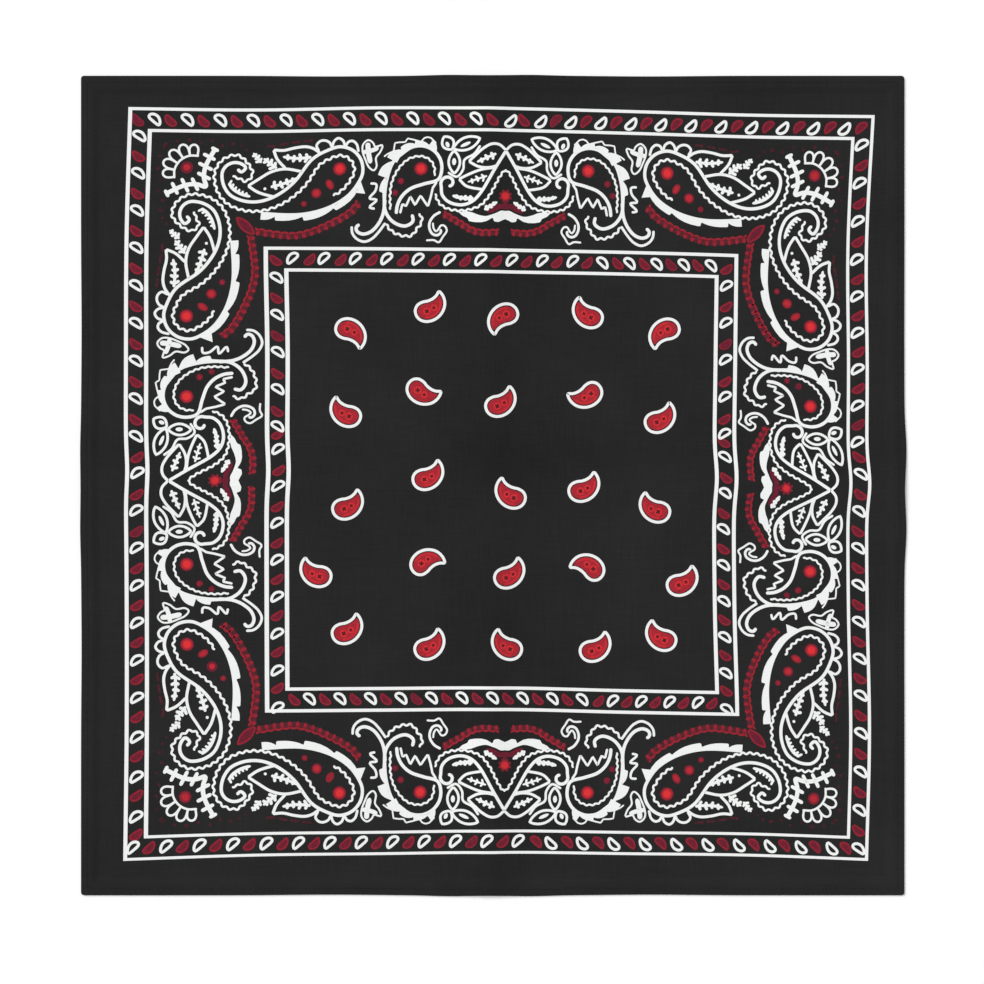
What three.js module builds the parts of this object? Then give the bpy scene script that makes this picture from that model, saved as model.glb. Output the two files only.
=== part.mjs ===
// A printed cotton bandana laid flat, face up: one nearly square cloth whose four edges are turned
// under and stitched. Millimetres, +Z up, +Y towards the top edge. The origin is on the surface that
// the cloth lies on, below the middle of its outline.
import * as THREE from "three";

// The finished cloth from fold to fold, the wall of its face, and the rounding of a corner.
const CLOTH = { width: 558, height: 555.4, wall: 1.0, cornerRadius: 2.2 };

// An edge turned under: how far it reaches in, its thickness, and the gap kept at each seam.
const HEM = { width: 6.35, thickness: 1.0, seamGap: 0.3 };

// The face stands on the hem from the edge to `starts`, and is down on the surface from `ends` on.
const STEP = { starts: 6.8, middle: 9.6, ends: 13.5 };

// The two packing folds, pressed in and never quite flat again. `place` is where the crest runs from
// the middle of the cloth, `crest` how broad its top is, `reach` where it has died away.
const FOLDS = {
  up: { place: -2, height: 1.9, crest: 14, reach: 48 },
  across: { place: -3, height: 1.5, crest: 18, reach: 54 },
};

// Low swells that the folding left in the cloth: middle, heading in degrees from +X, half sizes, height.
const SWELLS = [
  { x: -168, y: 176, heading: 38, halfLength: 120, halfWidth: 62, height: 0.55 },
  { x: 158, y: 196, heading: -14, halfLength: 130, halfWidth: 66, height: 0.7 },
  { x: 181, y: -148, heading: 52, halfLength: 115, halfWidth: 64, height: 0.6 },
  { x: -146, y: -188, heading: -24, halfLength: 125, halfWidth: 68, height: 0.65 },
];

// How far each edge strays from a straight line: out beside the fold that crosses it, in further on.
const EDGES = {
  left: { bulge: 0.55, drawIn: 0.4 },
  right: { bulge: 1.35, drawIn: 0.1 },
  top: { bulge: 0.6, drawIn: 0.45 },
  bottom: { bulge: 0.6, drawIn: 0.45 },
};
const BULGE = { at: 27, spread: 19 };
const DRAW_IN = { at: 108, spread: 40 };
const EDGE_REACH = 60;

// Grid lines: near an edge, as shares of a fold's reach beside its crest, and the step in between.
const RIM_LINES = [0, 0.4 * CLOTH.cornerRadius, CLOTH.cornerRadius];
const STEP_LINES = [STEP.starts, STEP.middle, STEP.ends];
const FOLD_SHARES = [1, 0.62, 0.36, 0.16];
const OPEN_STEP = 31;

const INK = { color: 0x282828, roughness: 0.92, metalness: 0 };

// 1 at 0, easing to 0 at 1.
function ease(t) {
  const u = THREE.MathUtils.clamp(t, 0, 1);
  return 1 - u * u * (3 - 2 * u);
}

function bell(distance, spread) {
  return Math.exp(-((distance / spread) ** 2));
}

// How far an edge strays outwards at a distance from its fold.
function stray(edge, fromFold) {
  const away = Math.abs(fromFold);
  return (
    edge.bulge * bell(away - BULGE.at, BULGE.spread) -
    edge.drawIn * bell(away - DRAW_IN.at, DRAW_IN.spread)
  );
}

// A corner's square of side r becomes a quarter circle; points beyond it stay where they are.
function roundCorner(a, b, r) {
  if (a >= r || b >= r) return [a, b];
  const p = (r - a) / r;
  const q = (r - b) / r;
  return [
    r - r * p * Math.sqrt(1 - (q * q) / 2),
    r - r * q * Math.sqrt(1 - (p * p) / 2),
  ];
}

// One packing fold's height: a soft crest that dies away at its reach.
function foldHeight(fold, position) {
  const away = Math.abs(position - fold.place);
  const crest = fold.crest ** 2 / (away ** 2 + fold.crest ** 2);
  return fold.height * crest * ease(away / fold.reach);
}

function swellHeight(swell, x, y) {
  const turn = THREE.MathUtils.degToRad(swell.heading);
  const along = (x - swell.x) * Math.cos(turn) + (y - swell.y) * Math.sin(turn);
  const aside = (y - swell.y) * Math.cos(turn) - (x - swell.x) * Math.sin(turn);
  const out = (along / swell.halfLength) ** 2 + (aside / swell.halfWidth) ** 2;
  return out < 1 ? swell.height * (1 - out) ** 2 : 0;
}

// The cloth's own rise over the surface, where no hem is under it.
function relief(x, y) {
  const up = foldHeight(FOLDS.up, x);
  const across = foldHeight(FOLDS.across, y);
  const crossing = (up * across) / Math.max(FOLDS.up.height, FOLDS.across.height);
  const swells = SWELLS.reduce((sum, swell) => sum + swellHeight(swell, x, y), 0);
  return up + across - crossing + swells;
}

// The point of the face's underside at `s` from the left edge and `t` from the bottom edge.
function clothPoint(s, t) {
  const fromRight = CLOTH.width - s;
  const fromTop = CLOTH.height - t;
  const [a, b] = roundCorner(
    Math.min(s, fromRight),
    Math.min(t, fromTop),
    CLOTH.cornerRadius,
  );
  let x = (s < fromRight ? a : CLOTH.width - a) - CLOTH.width / 2;
  let y = (t < fromTop ? b : CLOTH.height - b) - CLOTH.height / 2;
  const nearest = Math.min(s, t, fromRight, fromTop);
  const stand =
    (HEM.thickness + HEM.seamGap) *
    ease((nearest - STEP.starts) / (STEP.ends - STEP.starts));
  const z = stand + relief(x, y);
  const sideways = y - FOLDS.across.place;
  const lengthways = x - FOLDS.up.place;
  x += stray(EDGES.right, sideways) * ease(fromRight / EDGE_REACH);
  x -= stray(EDGES.left, sideways) * ease(s / EDGE_REACH);
  y += stray(EDGES.top, lengthways) * ease(fromTop / EDGE_REACH);
  y -= stray(EDGES.bottom, lengthways) * ease(t / EDGE_REACH);
  return new THREE.Vector3(x, y, z);
}

// Even steps from one line to the next, both ends left out.
function between(from, to) {
  const cells = Math.max(1, Math.round((to - from) / OPEN_STEP));
  return Array.from({ length: cells - 1 }, (_, i) => from + ((to - from) * (i + 1)) / cells);
}

// Lines across the whole cloth: close together at both rims and beside the fold.
function clothLines(length, fold) {
  const crest = length / 2 + fold.place;
  const rim = [...RIM_LINES, ...STEP_LINES];
  const before = FOLD_SHARES.map((share) => crest - share * fold.reach);
  const after = FOLD_SHARES.map((share) => crest + share * fold.reach).reverse();
  const farRim = rim.map((line) => length - line).reverse();
  return [
    ...rim,
    ...between(STEP.ends, before[0]),
    ...before,
    crest,
    ...after,
    ...between(after[after.length - 1], length - STEP.ends),
    ...farRim,
  ];
}

// A closed wall over a grid of lines, between two heights measured from the face's underside.
function wallGeometry(acrossLines, upLines, low, high) {
  const columns = acrossLines.length;
  const positions = [];
  for (const offset of [low, high])
    for (const t of upLines)
      for (const s of acrossLines) {
        const point = clothPoint(s, t);
        positions.push(point.x, point.y, point.z + offset);
      }
  const layer = columns * upLines.length;
  const at = (i, j) => j * columns + i;
  const faces = [];
  for (let j = 0; j + 1 < upLines.length; j++)
    for (let i = 0; i + 1 < columns; i++) {
      const [a, b, c, d] = [at(i, j), at(i + 1, j), at(i + 1, j + 1), at(i, j + 1)];
      faces.push(a, c, b, a, d, c);
      faces.push(layer + a, layer + b, layer + c, layer + a, layer + c, layer + d);
    }
  const last = { i: columns - 1, j: upLines.length - 1 };
  const border = [];
  for (let i = 0; i < last.i; i++) border.push([at(i, 0), at(i + 1, 0)]);
  for (let j = 0; j < last.j; j++) border.push([at(last.i, j), at(last.i, j + 1)]);
  for (let i = last.i; i > 0; i--) border.push([at(i, last.j), at(i - 1, last.j)]);
  for (let j = last.j; j > 0; j--) border.push([at(0, j), at(0, j - 1)]);
  for (const [a, b] of border) faces.push(a, b, layer + b, a, layer + b, layer + a);
  const geometry = new THREE.BufferGeometry();
  geometry.setAttribute("position", new THREE.Float32BufferAttribute(positions, 3));
  geometry.setIndex(faces);
  geometry.computeVertexNormals();
  return geometry;
}

function clothMesh(name, acrossLines, upLines, low, high) {
  const mesh = new THREE.Mesh(
    wallGeometry(acrossLines, upLines, low, high),
    new THREE.MeshStandardMaterial(INK),
  );
  mesh.name = name;
  return mesh;
}

// The four hems lie under the rim. The side hems run the whole way, through the corners; the top and
// bottom hems end one seam gap short of them.
function hemMeshes(acrossLines, upLines) {
  const strip = [...RIM_LINES, HEM.width];
  const low = -HEM.seamGap - HEM.thickness;
  const high = -HEM.seamGap;
  const endsAt = HEM.width + HEM.seamGap;
  const inner = acrossLines.filter((s) => s > endsAt && s < CLOTH.width - endsAt);
  const run = [endsAt, ...inner, CLOTH.width - endsAt];
  const farSide = (length) => strip.map((line) => length - line).reverse();
  return [
    clothMesh("hem_left", strip, upLines, low, high),
    clothMesh("hem_right", farSide(CLOTH.width), upLines, low, high),
    clothMesh("hem_bottom", run, strip, low, high),
    clothMesh("hem_top", run, farSide(CLOTH.height), low, high),
  ];
}

function bandana() {
  const acrossLines = clothLines(CLOTH.width, FOLDS.up);
  const upLines = clothLines(CLOTH.height, FOLDS.across);
  const panel = clothMesh("cloth_panel", acrossLines, upLines, 0, CLOTH.wall);
  const group = new THREE.Group();
  group.add(panel, ...hemMeshes(acrossLines, upLines));
  // The edges stray by different amounts, so the middle of the outline is brought to the origin.
  const middle = new THREE.Box3().setFromObject(panel).getCenter(new THREE.Vector3());
  group.position.set(-middle.x, -middle.y, 0);
  return group;
}

export default bandana();
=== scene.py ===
"""A printed cotton bandana laid flat, face up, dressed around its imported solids.

Every size is in millimetres, in the cloth's own frame: +X towards the right-hand edge, +Y towards the
top edge and +Z out of the printed face. Meshes are written in metres. The cloth repeats the named
values of its solids, so the shell, the hems, the stitching and the ink all lie on one form.
"""

import logging
import math
from dataclasses import dataclass, field, replace
from enum import Enum

import bpy
import numpy as np
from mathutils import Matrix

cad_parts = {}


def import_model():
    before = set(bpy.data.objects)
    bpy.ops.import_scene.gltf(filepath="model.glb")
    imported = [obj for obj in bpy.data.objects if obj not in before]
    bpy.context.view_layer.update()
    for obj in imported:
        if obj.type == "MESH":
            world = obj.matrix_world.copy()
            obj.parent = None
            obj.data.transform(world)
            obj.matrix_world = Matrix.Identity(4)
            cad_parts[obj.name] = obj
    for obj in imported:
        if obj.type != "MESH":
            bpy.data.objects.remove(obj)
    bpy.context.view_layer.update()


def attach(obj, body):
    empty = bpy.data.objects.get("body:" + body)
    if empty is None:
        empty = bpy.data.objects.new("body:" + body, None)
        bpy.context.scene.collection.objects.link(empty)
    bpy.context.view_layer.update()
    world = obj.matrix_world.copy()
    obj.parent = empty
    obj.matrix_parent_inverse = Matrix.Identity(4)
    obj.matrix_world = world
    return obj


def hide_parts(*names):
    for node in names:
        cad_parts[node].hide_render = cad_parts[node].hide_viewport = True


LOG = logging.getLogger("bandana")
MM = 0.001
BODY = "root"
PLANAR_MAP = "OFBake"
TONE = "tone"

# Half of the square that every piece's flat map covers.
HALF_MAP = 284.0

# Tables of points in order, tables with three numbers to a row, and a material's sockets.
Points = tuple[tuple[float, float], ...]
Triples = tuple[tuple[float, float, float], ...]
Socket = bpy.types.NodeSocket


def ease(t: np.ndarray) -> np.ndarray:
    """1 at 0, falling smoothly to 0 at 1, flat beyond both: one less u squared times (3 - 2u)."""
    u = np.clip(t, 0.0, 1.0)
    return 1.0 - u * u * (3.0 - 2.0 * u)


def bell(distance: np.ndarray, spread: float) -> np.ndarray:
    """A bell: e to the power of minus the square of distance over spread."""
    return np.exp(-((distance / spread) ** 2))


# meshes


def grid_quads(rows: int, columns: int, loop: bool = False) -> np.ndarray:
    """The quads of a grid of points numbered row by row.

    Args:
        rows: How many rows of points there are.
        columns: How many points each row holds.
        loop: Whether the last row joins the first.

    Returns:
        An array of quads, four point numbers each, anticlockwise seen with rows up and columns right.
    """
    numbers = np.arange(rows * columns).reshape(rows, columns)
    after = np.roll(numbers, -1, axis=0)
    if not loop:
        numbers, after = numbers[:-1], after[:-1]
    a, b = numbers[:, :-1], numbers[:, 1:]
    c, d = after[:, 1:], after[:, :-1]
    return np.stack([a, b, c, d], axis=-1).reshape(-1, 4)


def rim_of(rows: int, columns: int, loop: bool = False) -> np.ndarray:
    """The directed edges round a grid of points, in the order that its quads walk them.

    Args:
        rows: How many rows of points there are.
        columns: How many points each row holds.
        loop: Whether the last row joins the first, which leaves two rims and no ends.

    Returns:
        An array of pairs of point numbers.
    """
    numbers = np.arange(rows * columns).reshape(rows, columns)
    first, last = numbers[:, 0], numbers[:, -1]
    if loop:
        return np.concatenate(
            [
                np.stack([np.roll(first, -1), first], axis=1),
                np.stack([last, np.roll(last, -1)], axis=1),
            ]
        )
    return np.concatenate(
        [
            np.stack([numbers[0, :-1], numbers[0, 1:]], axis=1),
            np.stack([last[:-1], last[1:]], axis=1),
            np.stack([numbers[-1, 1:], numbers[-1, :-1]], axis=1),
            np.stack([first[1:], first[:-1]], axis=1),
        ]
    )


def closed_layers(
    upper: np.ndarray, lower: np.ndarray, loop: bool = False
) -> tuple[np.ndarray, np.ndarray]:
    """A closed body between two grids of the same shape: both faces and the wall round them.

    Args:
        upper: The upper grid, rows by columns by 3, anticlockwise seen from above.
        lower: The lower grid, of the same shape.
        loop: Whether the last row joins the first.

    Returns:
        The points, and the quads that close them with every face outwards.
    """
    rows, columns = upper.shape[:2]
    layer = rows * columns
    quads = grid_quads(rows, columns, loop)
    rim = rim_of(rows, columns, loop)
    wall = np.stack([rim[:, 1], rim[:, 0], rim[:, 0] + layer, rim[:, 1] + layer], axis=1)
    points = np.concatenate([upper.reshape(-1, 3), lower.reshape(-1, 3)])
    return points, np.concatenate([quads, quads[:, ::-1] + layer, wall])


def tube_quads(rows: int, around: int) -> np.ndarray:
    """The quads of a closed tube: rings of points one after another, with both end rings filled.

    Each end is filled by strips from one side of its ring to the other, so a ring has an even count.

    Args:
        rows: How many rings there are.
        around: How many points each ring holds, an even number.

    Returns:
        Quads that face outwards where a ring runs anticlockwise seen from the last ring's end.
    """
    numbers = np.arange(rows * around).reshape(rows, around)
    beside = np.roll(numbers, -1, axis=1)
    walls = np.stack([numbers[:-1], beside[:-1], beside[1:], numbers[1:]], axis=-1).reshape(-1, 4)
    low = np.arange(around // 2)
    high = around - 1 - low
    strips = np.stack([low[:-1], high[:-1], high[1:], low[1:]], axis=1)
    return np.concatenate([walls, strips, strips[:, ::-1] + (rows - 1) * around])


@dataclass
class Piece:
    """The points, faces and finish of one object that is being put together, in millimetres."""

    name: str
    points: list[np.ndarray] = field(default_factory=list)
    faces: list[np.ndarray] = field(default_factory=list)
    tones: list[np.ndarray] = field(default_factory=list)
    count: int = 0

    def add(self, points: np.ndarray, faces: np.ndarray, tone: float = 0.5) -> None:
        """Adds points, the faces between them, and the tone that they all share."""
        self.points.append(points)
        self.faces.append(faces + self.count)
        self.tones.append(np.full(len(points), tone, np.float32))
        self.count += len(points)

    def build(self, material: bpy.types.Material, crease: float = 180.0) -> bpy.types.Object:
        """Writes the mesh in metres, with its flat map and its tones, and dresses it.

        Args:
            material: The finish.
            crease: The angle in degrees over which an edge shades as a sharp one.

        Returns:
            The object, at the origin, riding on the one body.
        """
        points = np.concatenate(self.points) * MM
        faces = np.concatenate(self.faces)
        sides = faces.shape[1]
        mesh = bpy.data.meshes.new(self.name)
        mesh.vertices.add(len(points))
        mesh.vertices.foreach_set("co", points.astype(np.float32).ravel())
        mesh.loops.add(faces.size)
        mesh.loops.foreach_set("vertex_index", faces.astype(np.int32).ravel())
        mesh.polygons.add(len(faces))
        mesh.polygons.foreach_set("loop_start", np.arange(0, faces.size, sides, dtype=np.int32))
        mesh.polygons.foreach_set("use_smooth", np.full(len(faces), True))
        flat = mesh.uv_layers.new(name=PLANAR_MAP)
        across = points[faces.ravel(), :2] / (2.0 * HALF_MAP * MM) + 0.5
        flat.uv.foreach_set("vector", across.astype(np.float32).ravel())
        tone = mesh.attributes.new(TONE, "FLOAT", "POINT")
        tone.data.foreach_set("value", np.concatenate(self.tones))
        mesh.update(calc_edges=True)
        mesh.validate()
        if crease < 180.0:
            mesh.set_sharp_from_angle(angle=math.radians(crease))
        mesh.materials.append(material)
        thing = bpy.data.objects.new(self.name, mesh)
        bpy.context.scene.collection.objects.link(thing)
        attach(thing, BODY)
        LOG.info("%s: %d points, %d faces", self.name, len(points), len(mesh.polygons))
        return thing


# the cloth's form


@dataclass(frozen=True)
class Fold:
    """A packing fold, pressed in and never quite flat again."""

    place: float
    height: float
    crest: float
    reach: float

    def rise(self, position: np.ndarray) -> np.ndarray:
        """A soft crest, c squared over (away squared plus c squared), that dies away at its reach."""
        away = np.abs(position - self.place)
        return (
            self.height
            * self.crest**2
            / (away**2 + self.crest**2)
            * ease(away / self.reach)
        )


@dataclass(frozen=True)
class Swell:
    """A low swell that the folding left: middle, heading in degrees from +X, half sizes, height."""

    x: float
    y: float
    heading: float
    half_length: float
    half_width: float
    height: float

    def rise(self, x: np.ndarray, y: np.ndarray) -> np.ndarray:
        """Height times the square of (1 - out), where out is 1 on the ellipse of its half sizes."""
        turn = math.radians(self.heading)
        along = (x - self.x) * math.cos(turn) + (y - self.y) * math.sin(turn)
        aside = (y - self.y) * math.cos(turn) - (x - self.x) * math.sin(turn)
        out = (along / self.half_length) ** 2 + (aside / self.half_width) ** 2
        return self.height * np.clip(1.0 - out, 0.0, None) ** 2


@dataclass(frozen=True)
class Crease:
    """A faint handling crease: a narrow soft ridge that curves a little and fades at both ends."""

    x: float
    y: float
    heading: float
    length: float
    width: float
    height: float
    sag: float

    def rise(self, x: np.ndarray, y: np.ndarray) -> np.ndarray:
        """A bell across a line that sags as a parabola, eased away towards both ends."""
        turn = math.radians(self.heading)
        along = (x - self.x) * math.cos(turn) + (y - self.y) * math.sin(turn)
        aside = (y - self.y) * math.cos(turn) - (x - self.x) * math.sin(turn)
        share = np.abs(along) / (self.length / 2.0)
        aside = aside - self.sag * (1.0 - share**2)
        return self.height * bell(aside, self.width) * ease(share)


@dataclass(frozen=True)
class Edge:
    """How far an edge strays from a straight line: out beside the fold that crosses it, in further on."""

    bulge: float
    draw_in: float
    bulge_at: float = 27.0
    bulge_spread: float = 19.0
    draw_in_at: float = 108.0
    draw_in_spread: float = 40.0

    def stray(self, from_fold: np.ndarray) -> np.ndarray:
        """One bell outwards beside the fold, less a broader one inwards further on.

        Args:
            from_fold: Distances from the fold along the edge.

        Returns:
            How far out the edge is there.
        """
        away = np.abs(from_fold)
        out = self.bulge * bell(away - self.bulge_at, self.bulge_spread)
        return out - self.draw_in * bell(away - self.draw_in_at, self.draw_in_spread)


@dataclass
class ClothForm:
    """The one form that the shell, hems, stitches and ink lie on, worked out from both edges in.

    `stand` is how high the face stands over the hem, and `shift` brings the outline's middle to the
    origin. A pucker wave is its height, its length over a full turn, and its share of a side's phase.
    """

    width: float = 558.0
    height: float = 555.4
    wall: float = 1.0
    corner_radius: float = 2.2
    hem_width: float = 6.35
    stand: float = 1.3
    step_starts: float = 6.8
    step_ends: float = 13.5
    edge_reach: float = 60.0
    shift: float = -0.361
    fold_up: Fold = Fold(place=-2.0, height=1.9, crest=14.0, reach=48.0)
    fold_across: Fold = Fold(place=-3.0, height=1.5, crest=18.0, reach=54.0)
    swells: tuple[Swell, ...] = (
        Swell(-168.0, 176.0, 38.0, 120.0, 62.0, 0.55),
        Swell(158.0, 196.0, -14.0, 130.0, 66.0, 0.7),
        Swell(181.0, -148.0, 52.0, 115.0, 64.0, 0.6),
        Swell(-146.0, -188.0, -24.0, 125.0, 68.0, 0.65),
    )
    creases: tuple[Crease, ...] = (
        Crease(-96.0, 168.0, 74.0, 96.0, 7.0, 0.22, 5.0),
        Crease(-205.0, 62.0, 12.0, 120.0, 8.5, 0.26, -7.0),
        Crease(-118.0, -92.0, -38.0, 84.0, 6.5, 0.18, 4.0),
        Crease(-214.0, -150.0, 81.0, 110.0, 8.0, 0.24, 6.0),
        Crease(-62.0, -214.0, 8.0, 92.0, 7.0, 0.2, -4.0),
        Crease(88.0, -120.0, 61.0, 130.0, 9.0, 0.28, 8.0),
        Crease(204.0, -226.0, -16.0, 88.0, 6.5, 0.22, 3.0),
        Crease(226.0, -46.0, 84.0, 118.0, 8.0, 0.26, -5.0),
        Crease(132.0, 84.0, -27.0, 104.0, 7.5, 0.2, 6.0),
        Crease(76.0, 222.0, 15.0, 90.0, 7.0, 0.24, -5.0),
        Crease(238.0, 176.0, 68.0, 72.0, 6.0, 0.18, 3.0),
        Crease(-238.0, 232.0, -52.0, 66.0, 6.0, 0.16, -3.0),
    )
    edge_left: Edge = Edge(bulge=0.55, draw_in=0.4)
    edge_right: Edge = Edge(bulge=1.35, draw_in=0.1)
    edge_top: Edge = Edge(bulge=0.6, draw_in=0.45)
    edge_bottom: Edge = Edge(bulge=0.6, draw_in=0.45)
    pucker_height: float = 0.07
    pucker_inset: float = 5.6
    pucker_spread: float = 4.2
    pucker_waves: Triples = ((0.5, 2.3, 1.0), (0.32, 3.7, 2.1), (0.4, 9.1, 0.7))
    pucker_phases: tuple[float, ...] = (0.3, 1.9, 3.1, 4.4)

    def relief(self, x: np.ndarray, y: np.ndarray) -> np.ndarray:
        """Both folds, less their overlap so that the crossing stays low, with the swells and creases."""
        up, across = self.fold_up.rise(x), self.fold_across.rise(y)
        crossing = up * across / max(self.fold_up.height, self.fold_across.height)
        swells = sum(swell.rise(x, y) for swell in self.swells)
        creases = sum(crease.rise(x, y) for crease in self.creases)
        return up + across - crossing + swells + creases

    def puckers(self, s: np.ndarray, t: np.ndarray) -> np.ndarray:
        """Small cross waves that the stitching draws up, strongest beside the seam.

        Three sines of unlike wavelength along each side are multiplied by a bell across it.
        """
        sides = ((s, t), (self.width - s, t), (t, s), (self.height - t, s))
        rise = np.zeros_like(s)
        for (inward, along), phase in zip(sides, self.pucker_phases):
            wave = sum(
                height * np.sin(along / length + share * phase)
                for height, length, share in self.pucker_waves
            )
            rise += self.pucker_height * wave * bell(inward - self.pucker_inset, self.pucker_spread)
        return rise

    def plan(self, s: np.ndarray, t: np.ndarray) -> tuple[np.ndarray, np.ndarray, np.ndarray]:
        """The place of a cloth point, and its height over the surface where no hem is under it.

        A corner's small square becomes a quarter circle, and each edge strays as its `Edge` says.

        Args:
            s: Distances from the left edge along the cloth.
            t: Distances from the bottom edge along the cloth.

        Returns:
            x, y and the relief there.
        """
        far_s, far_t = self.width - s, self.height - t
        a, b, r = np.minimum(s, far_s), np.minimum(t, far_t), self.corner_radius
        p, q = np.clip((r - a) / r, 0.0, 1.0), np.clip((r - b) / r, 0.0, 1.0)
        inside = (a < r) & (b < r)
        rounded_a = np.where(inside, r - r * p * np.sqrt(1.0 - q * q / 2.0), a)
        rounded_b = np.where(inside, r - r * q * np.sqrt(1.0 - p * p / 2.0), b)
        x = np.where(s < far_s, rounded_a, self.width - rounded_a) - self.width / 2.0
        y = np.where(t < far_t, rounded_b, self.height - rounded_b) - self.height / 2.0
        rise = self.relief(x, y)
        sideways, lengthways = y - self.fold_across.place, x - self.fold_up.place
        x = x + self.edge_right.stray(sideways) * ease(far_s / self.edge_reach)
        x = x - self.edge_left.stray(sideways) * ease(s / self.edge_reach)
        y = y + self.edge_top.stray(lengthways) * ease(far_t / self.edge_reach)
        y = y - self.edge_bottom.stray(lengthways) * ease(t / self.edge_reach)
        return x + self.shift, y, rise

    def inward(self, s: np.ndarray, t: np.ndarray) -> np.ndarray:
        """The distance to the nearest edge along the cloth."""
        return np.minimum(np.minimum(s, self.width - s), np.minimum(t, self.height - t))

    def face(self, s: np.ndarray, t: np.ndarray) -> tuple[np.ndarray, np.ndarray, np.ndarray]:
        """The printed face: the relief, raised over the hem, plus the wall and the puckers."""
        x, y, rise = self.plan(s, t)
        nearest = self.inward(s, t)
        raised = self.stand * ease((nearest - self.step_starts) / (self.step_ends - self.step_starts))
        return x, y, rise + raised + self.wall + self.puckers(s, t)


@dataclass
class ClothFace:
    """The printed face: a thin closed shell whose edge rolls over the hem.

    `lower_roll` is the share of the roll that its lower side takes, and `rounds` how often a place is
    traced back to the cloth's own distances.
    """

    form: ClothForm
    thickness: float = 0.5
    roll_across: float = 1.1
    roll_down: float = 1.15
    lower_roll: float = 0.6
    rounds: int = 4
    rim_lines: tuple[float, ...] = (
        0.0, 0.04, 0.16, 0.38, 0.7, 1.1, 1.7, 2.4, 3.2, 4.1, 5.0, 6.0, 7.0, 8.0, 9.0, 10.1,
        11.3, 12.6, 14.0,
    )
    open_cells: int = 178

    def __post_init__(self) -> None:
        """Works out the grid lines and the height of the face at each crossing of them."""
        self.s_lines = self.lines(self.form.width)
        self.t_lines = self.lines(self.form.height)
        s, t = np.meshgrid(self.s_lines, self.t_lines)
        x, y, z = self.form.face(s, t)
        self.drop = self.roll(self.form.inward(s, t))
        self.upper = np.stack([x, y, z - self.drop], axis=-1)
        self.lower = np.stack([x, y, z - self.thickness - self.lower_roll * self.drop], axis=-1)

    def lines(self, length: float) -> np.ndarray:
        """Lines across the cloth: close together at both rims, and even steps in between."""
        rim = np.array(self.rim_lines)
        middle = np.linspace(rim[-1], length - rim[-1], self.open_cells + 1)[1:-1]
        return np.concatenate([rim, middle, length - rim[::-1]])

    def roll(self, inward: np.ndarray) -> np.ndarray:
        """How far the edge has rolled down: a quarter ellipse, upright at the outline."""
        out = 1.0 - np.clip(inward / self.roll_across, 0.0, 1.0)
        return self.roll_down * (1.0 - np.sqrt(1.0 - out**2))

    def height_at(self, x: np.ndarray, y: np.ndarray) -> np.ndarray:
        """The height of the shell's own triangles over any place, so that what lies on it touches it.

        The place is traced back to the edges' distances in rounds, each taking off what is left over,
        and the height is read off the triangle of the cell that it falls in.

        Args:
            x: Places across, in the cloth's frame.
            y: Places up, in the cloth's frame.

        Returns:
            The face's height at each place.
        """
        s, t = x + self.form.width / 2.0, y + self.form.height / 2.0
        for _ in range(self.rounds):
            at_x, at_y, _ = self.form.plan(s, t)
            s, t = s + x - at_x, t + y - at_y
        i = np.clip(np.searchsorted(self.s_lines, s) - 1, 0, len(self.s_lines) - 2)
        j = np.clip(np.searchsorted(self.t_lines, t) - 1, 0, len(self.t_lines) - 2)
        u = (s - self.s_lines[i]) / (self.s_lines[i + 1] - self.s_lines[i])
        v = (t - self.t_lines[j]) / (self.t_lines[j + 1] - self.t_lines[j])
        z = self.upper[..., 2]
        a, b, c, d = z[j, i], z[j, i + 1], z[j + 1, i + 1], z[j + 1, i]
        return np.where(u > v, a + u * (b - a) + v * (c - b), a + v * (d - a) + u * (c - d))

    def build(self, material: bpy.types.Material) -> bpy.types.Object:
        """Builds the shell in triangles, each cell cut from its first corner to its third."""
        points, quads = closed_layers(self.upper, self.lower)
        piece = Piece("cloth_face")
        piece.add(points, np.concatenate([quads[:, [0, 1, 2]], quads[:, [0, 2, 3]]]))
        thing = piece.build(material)
        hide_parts("cloth_panel")
        return thing


class Side(Enum):
    """The four edges of the cloth."""

    LEFT = "left"
    RIGHT = "right"
    BOTTOM = "bottom"
    TOP = "top"


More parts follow.
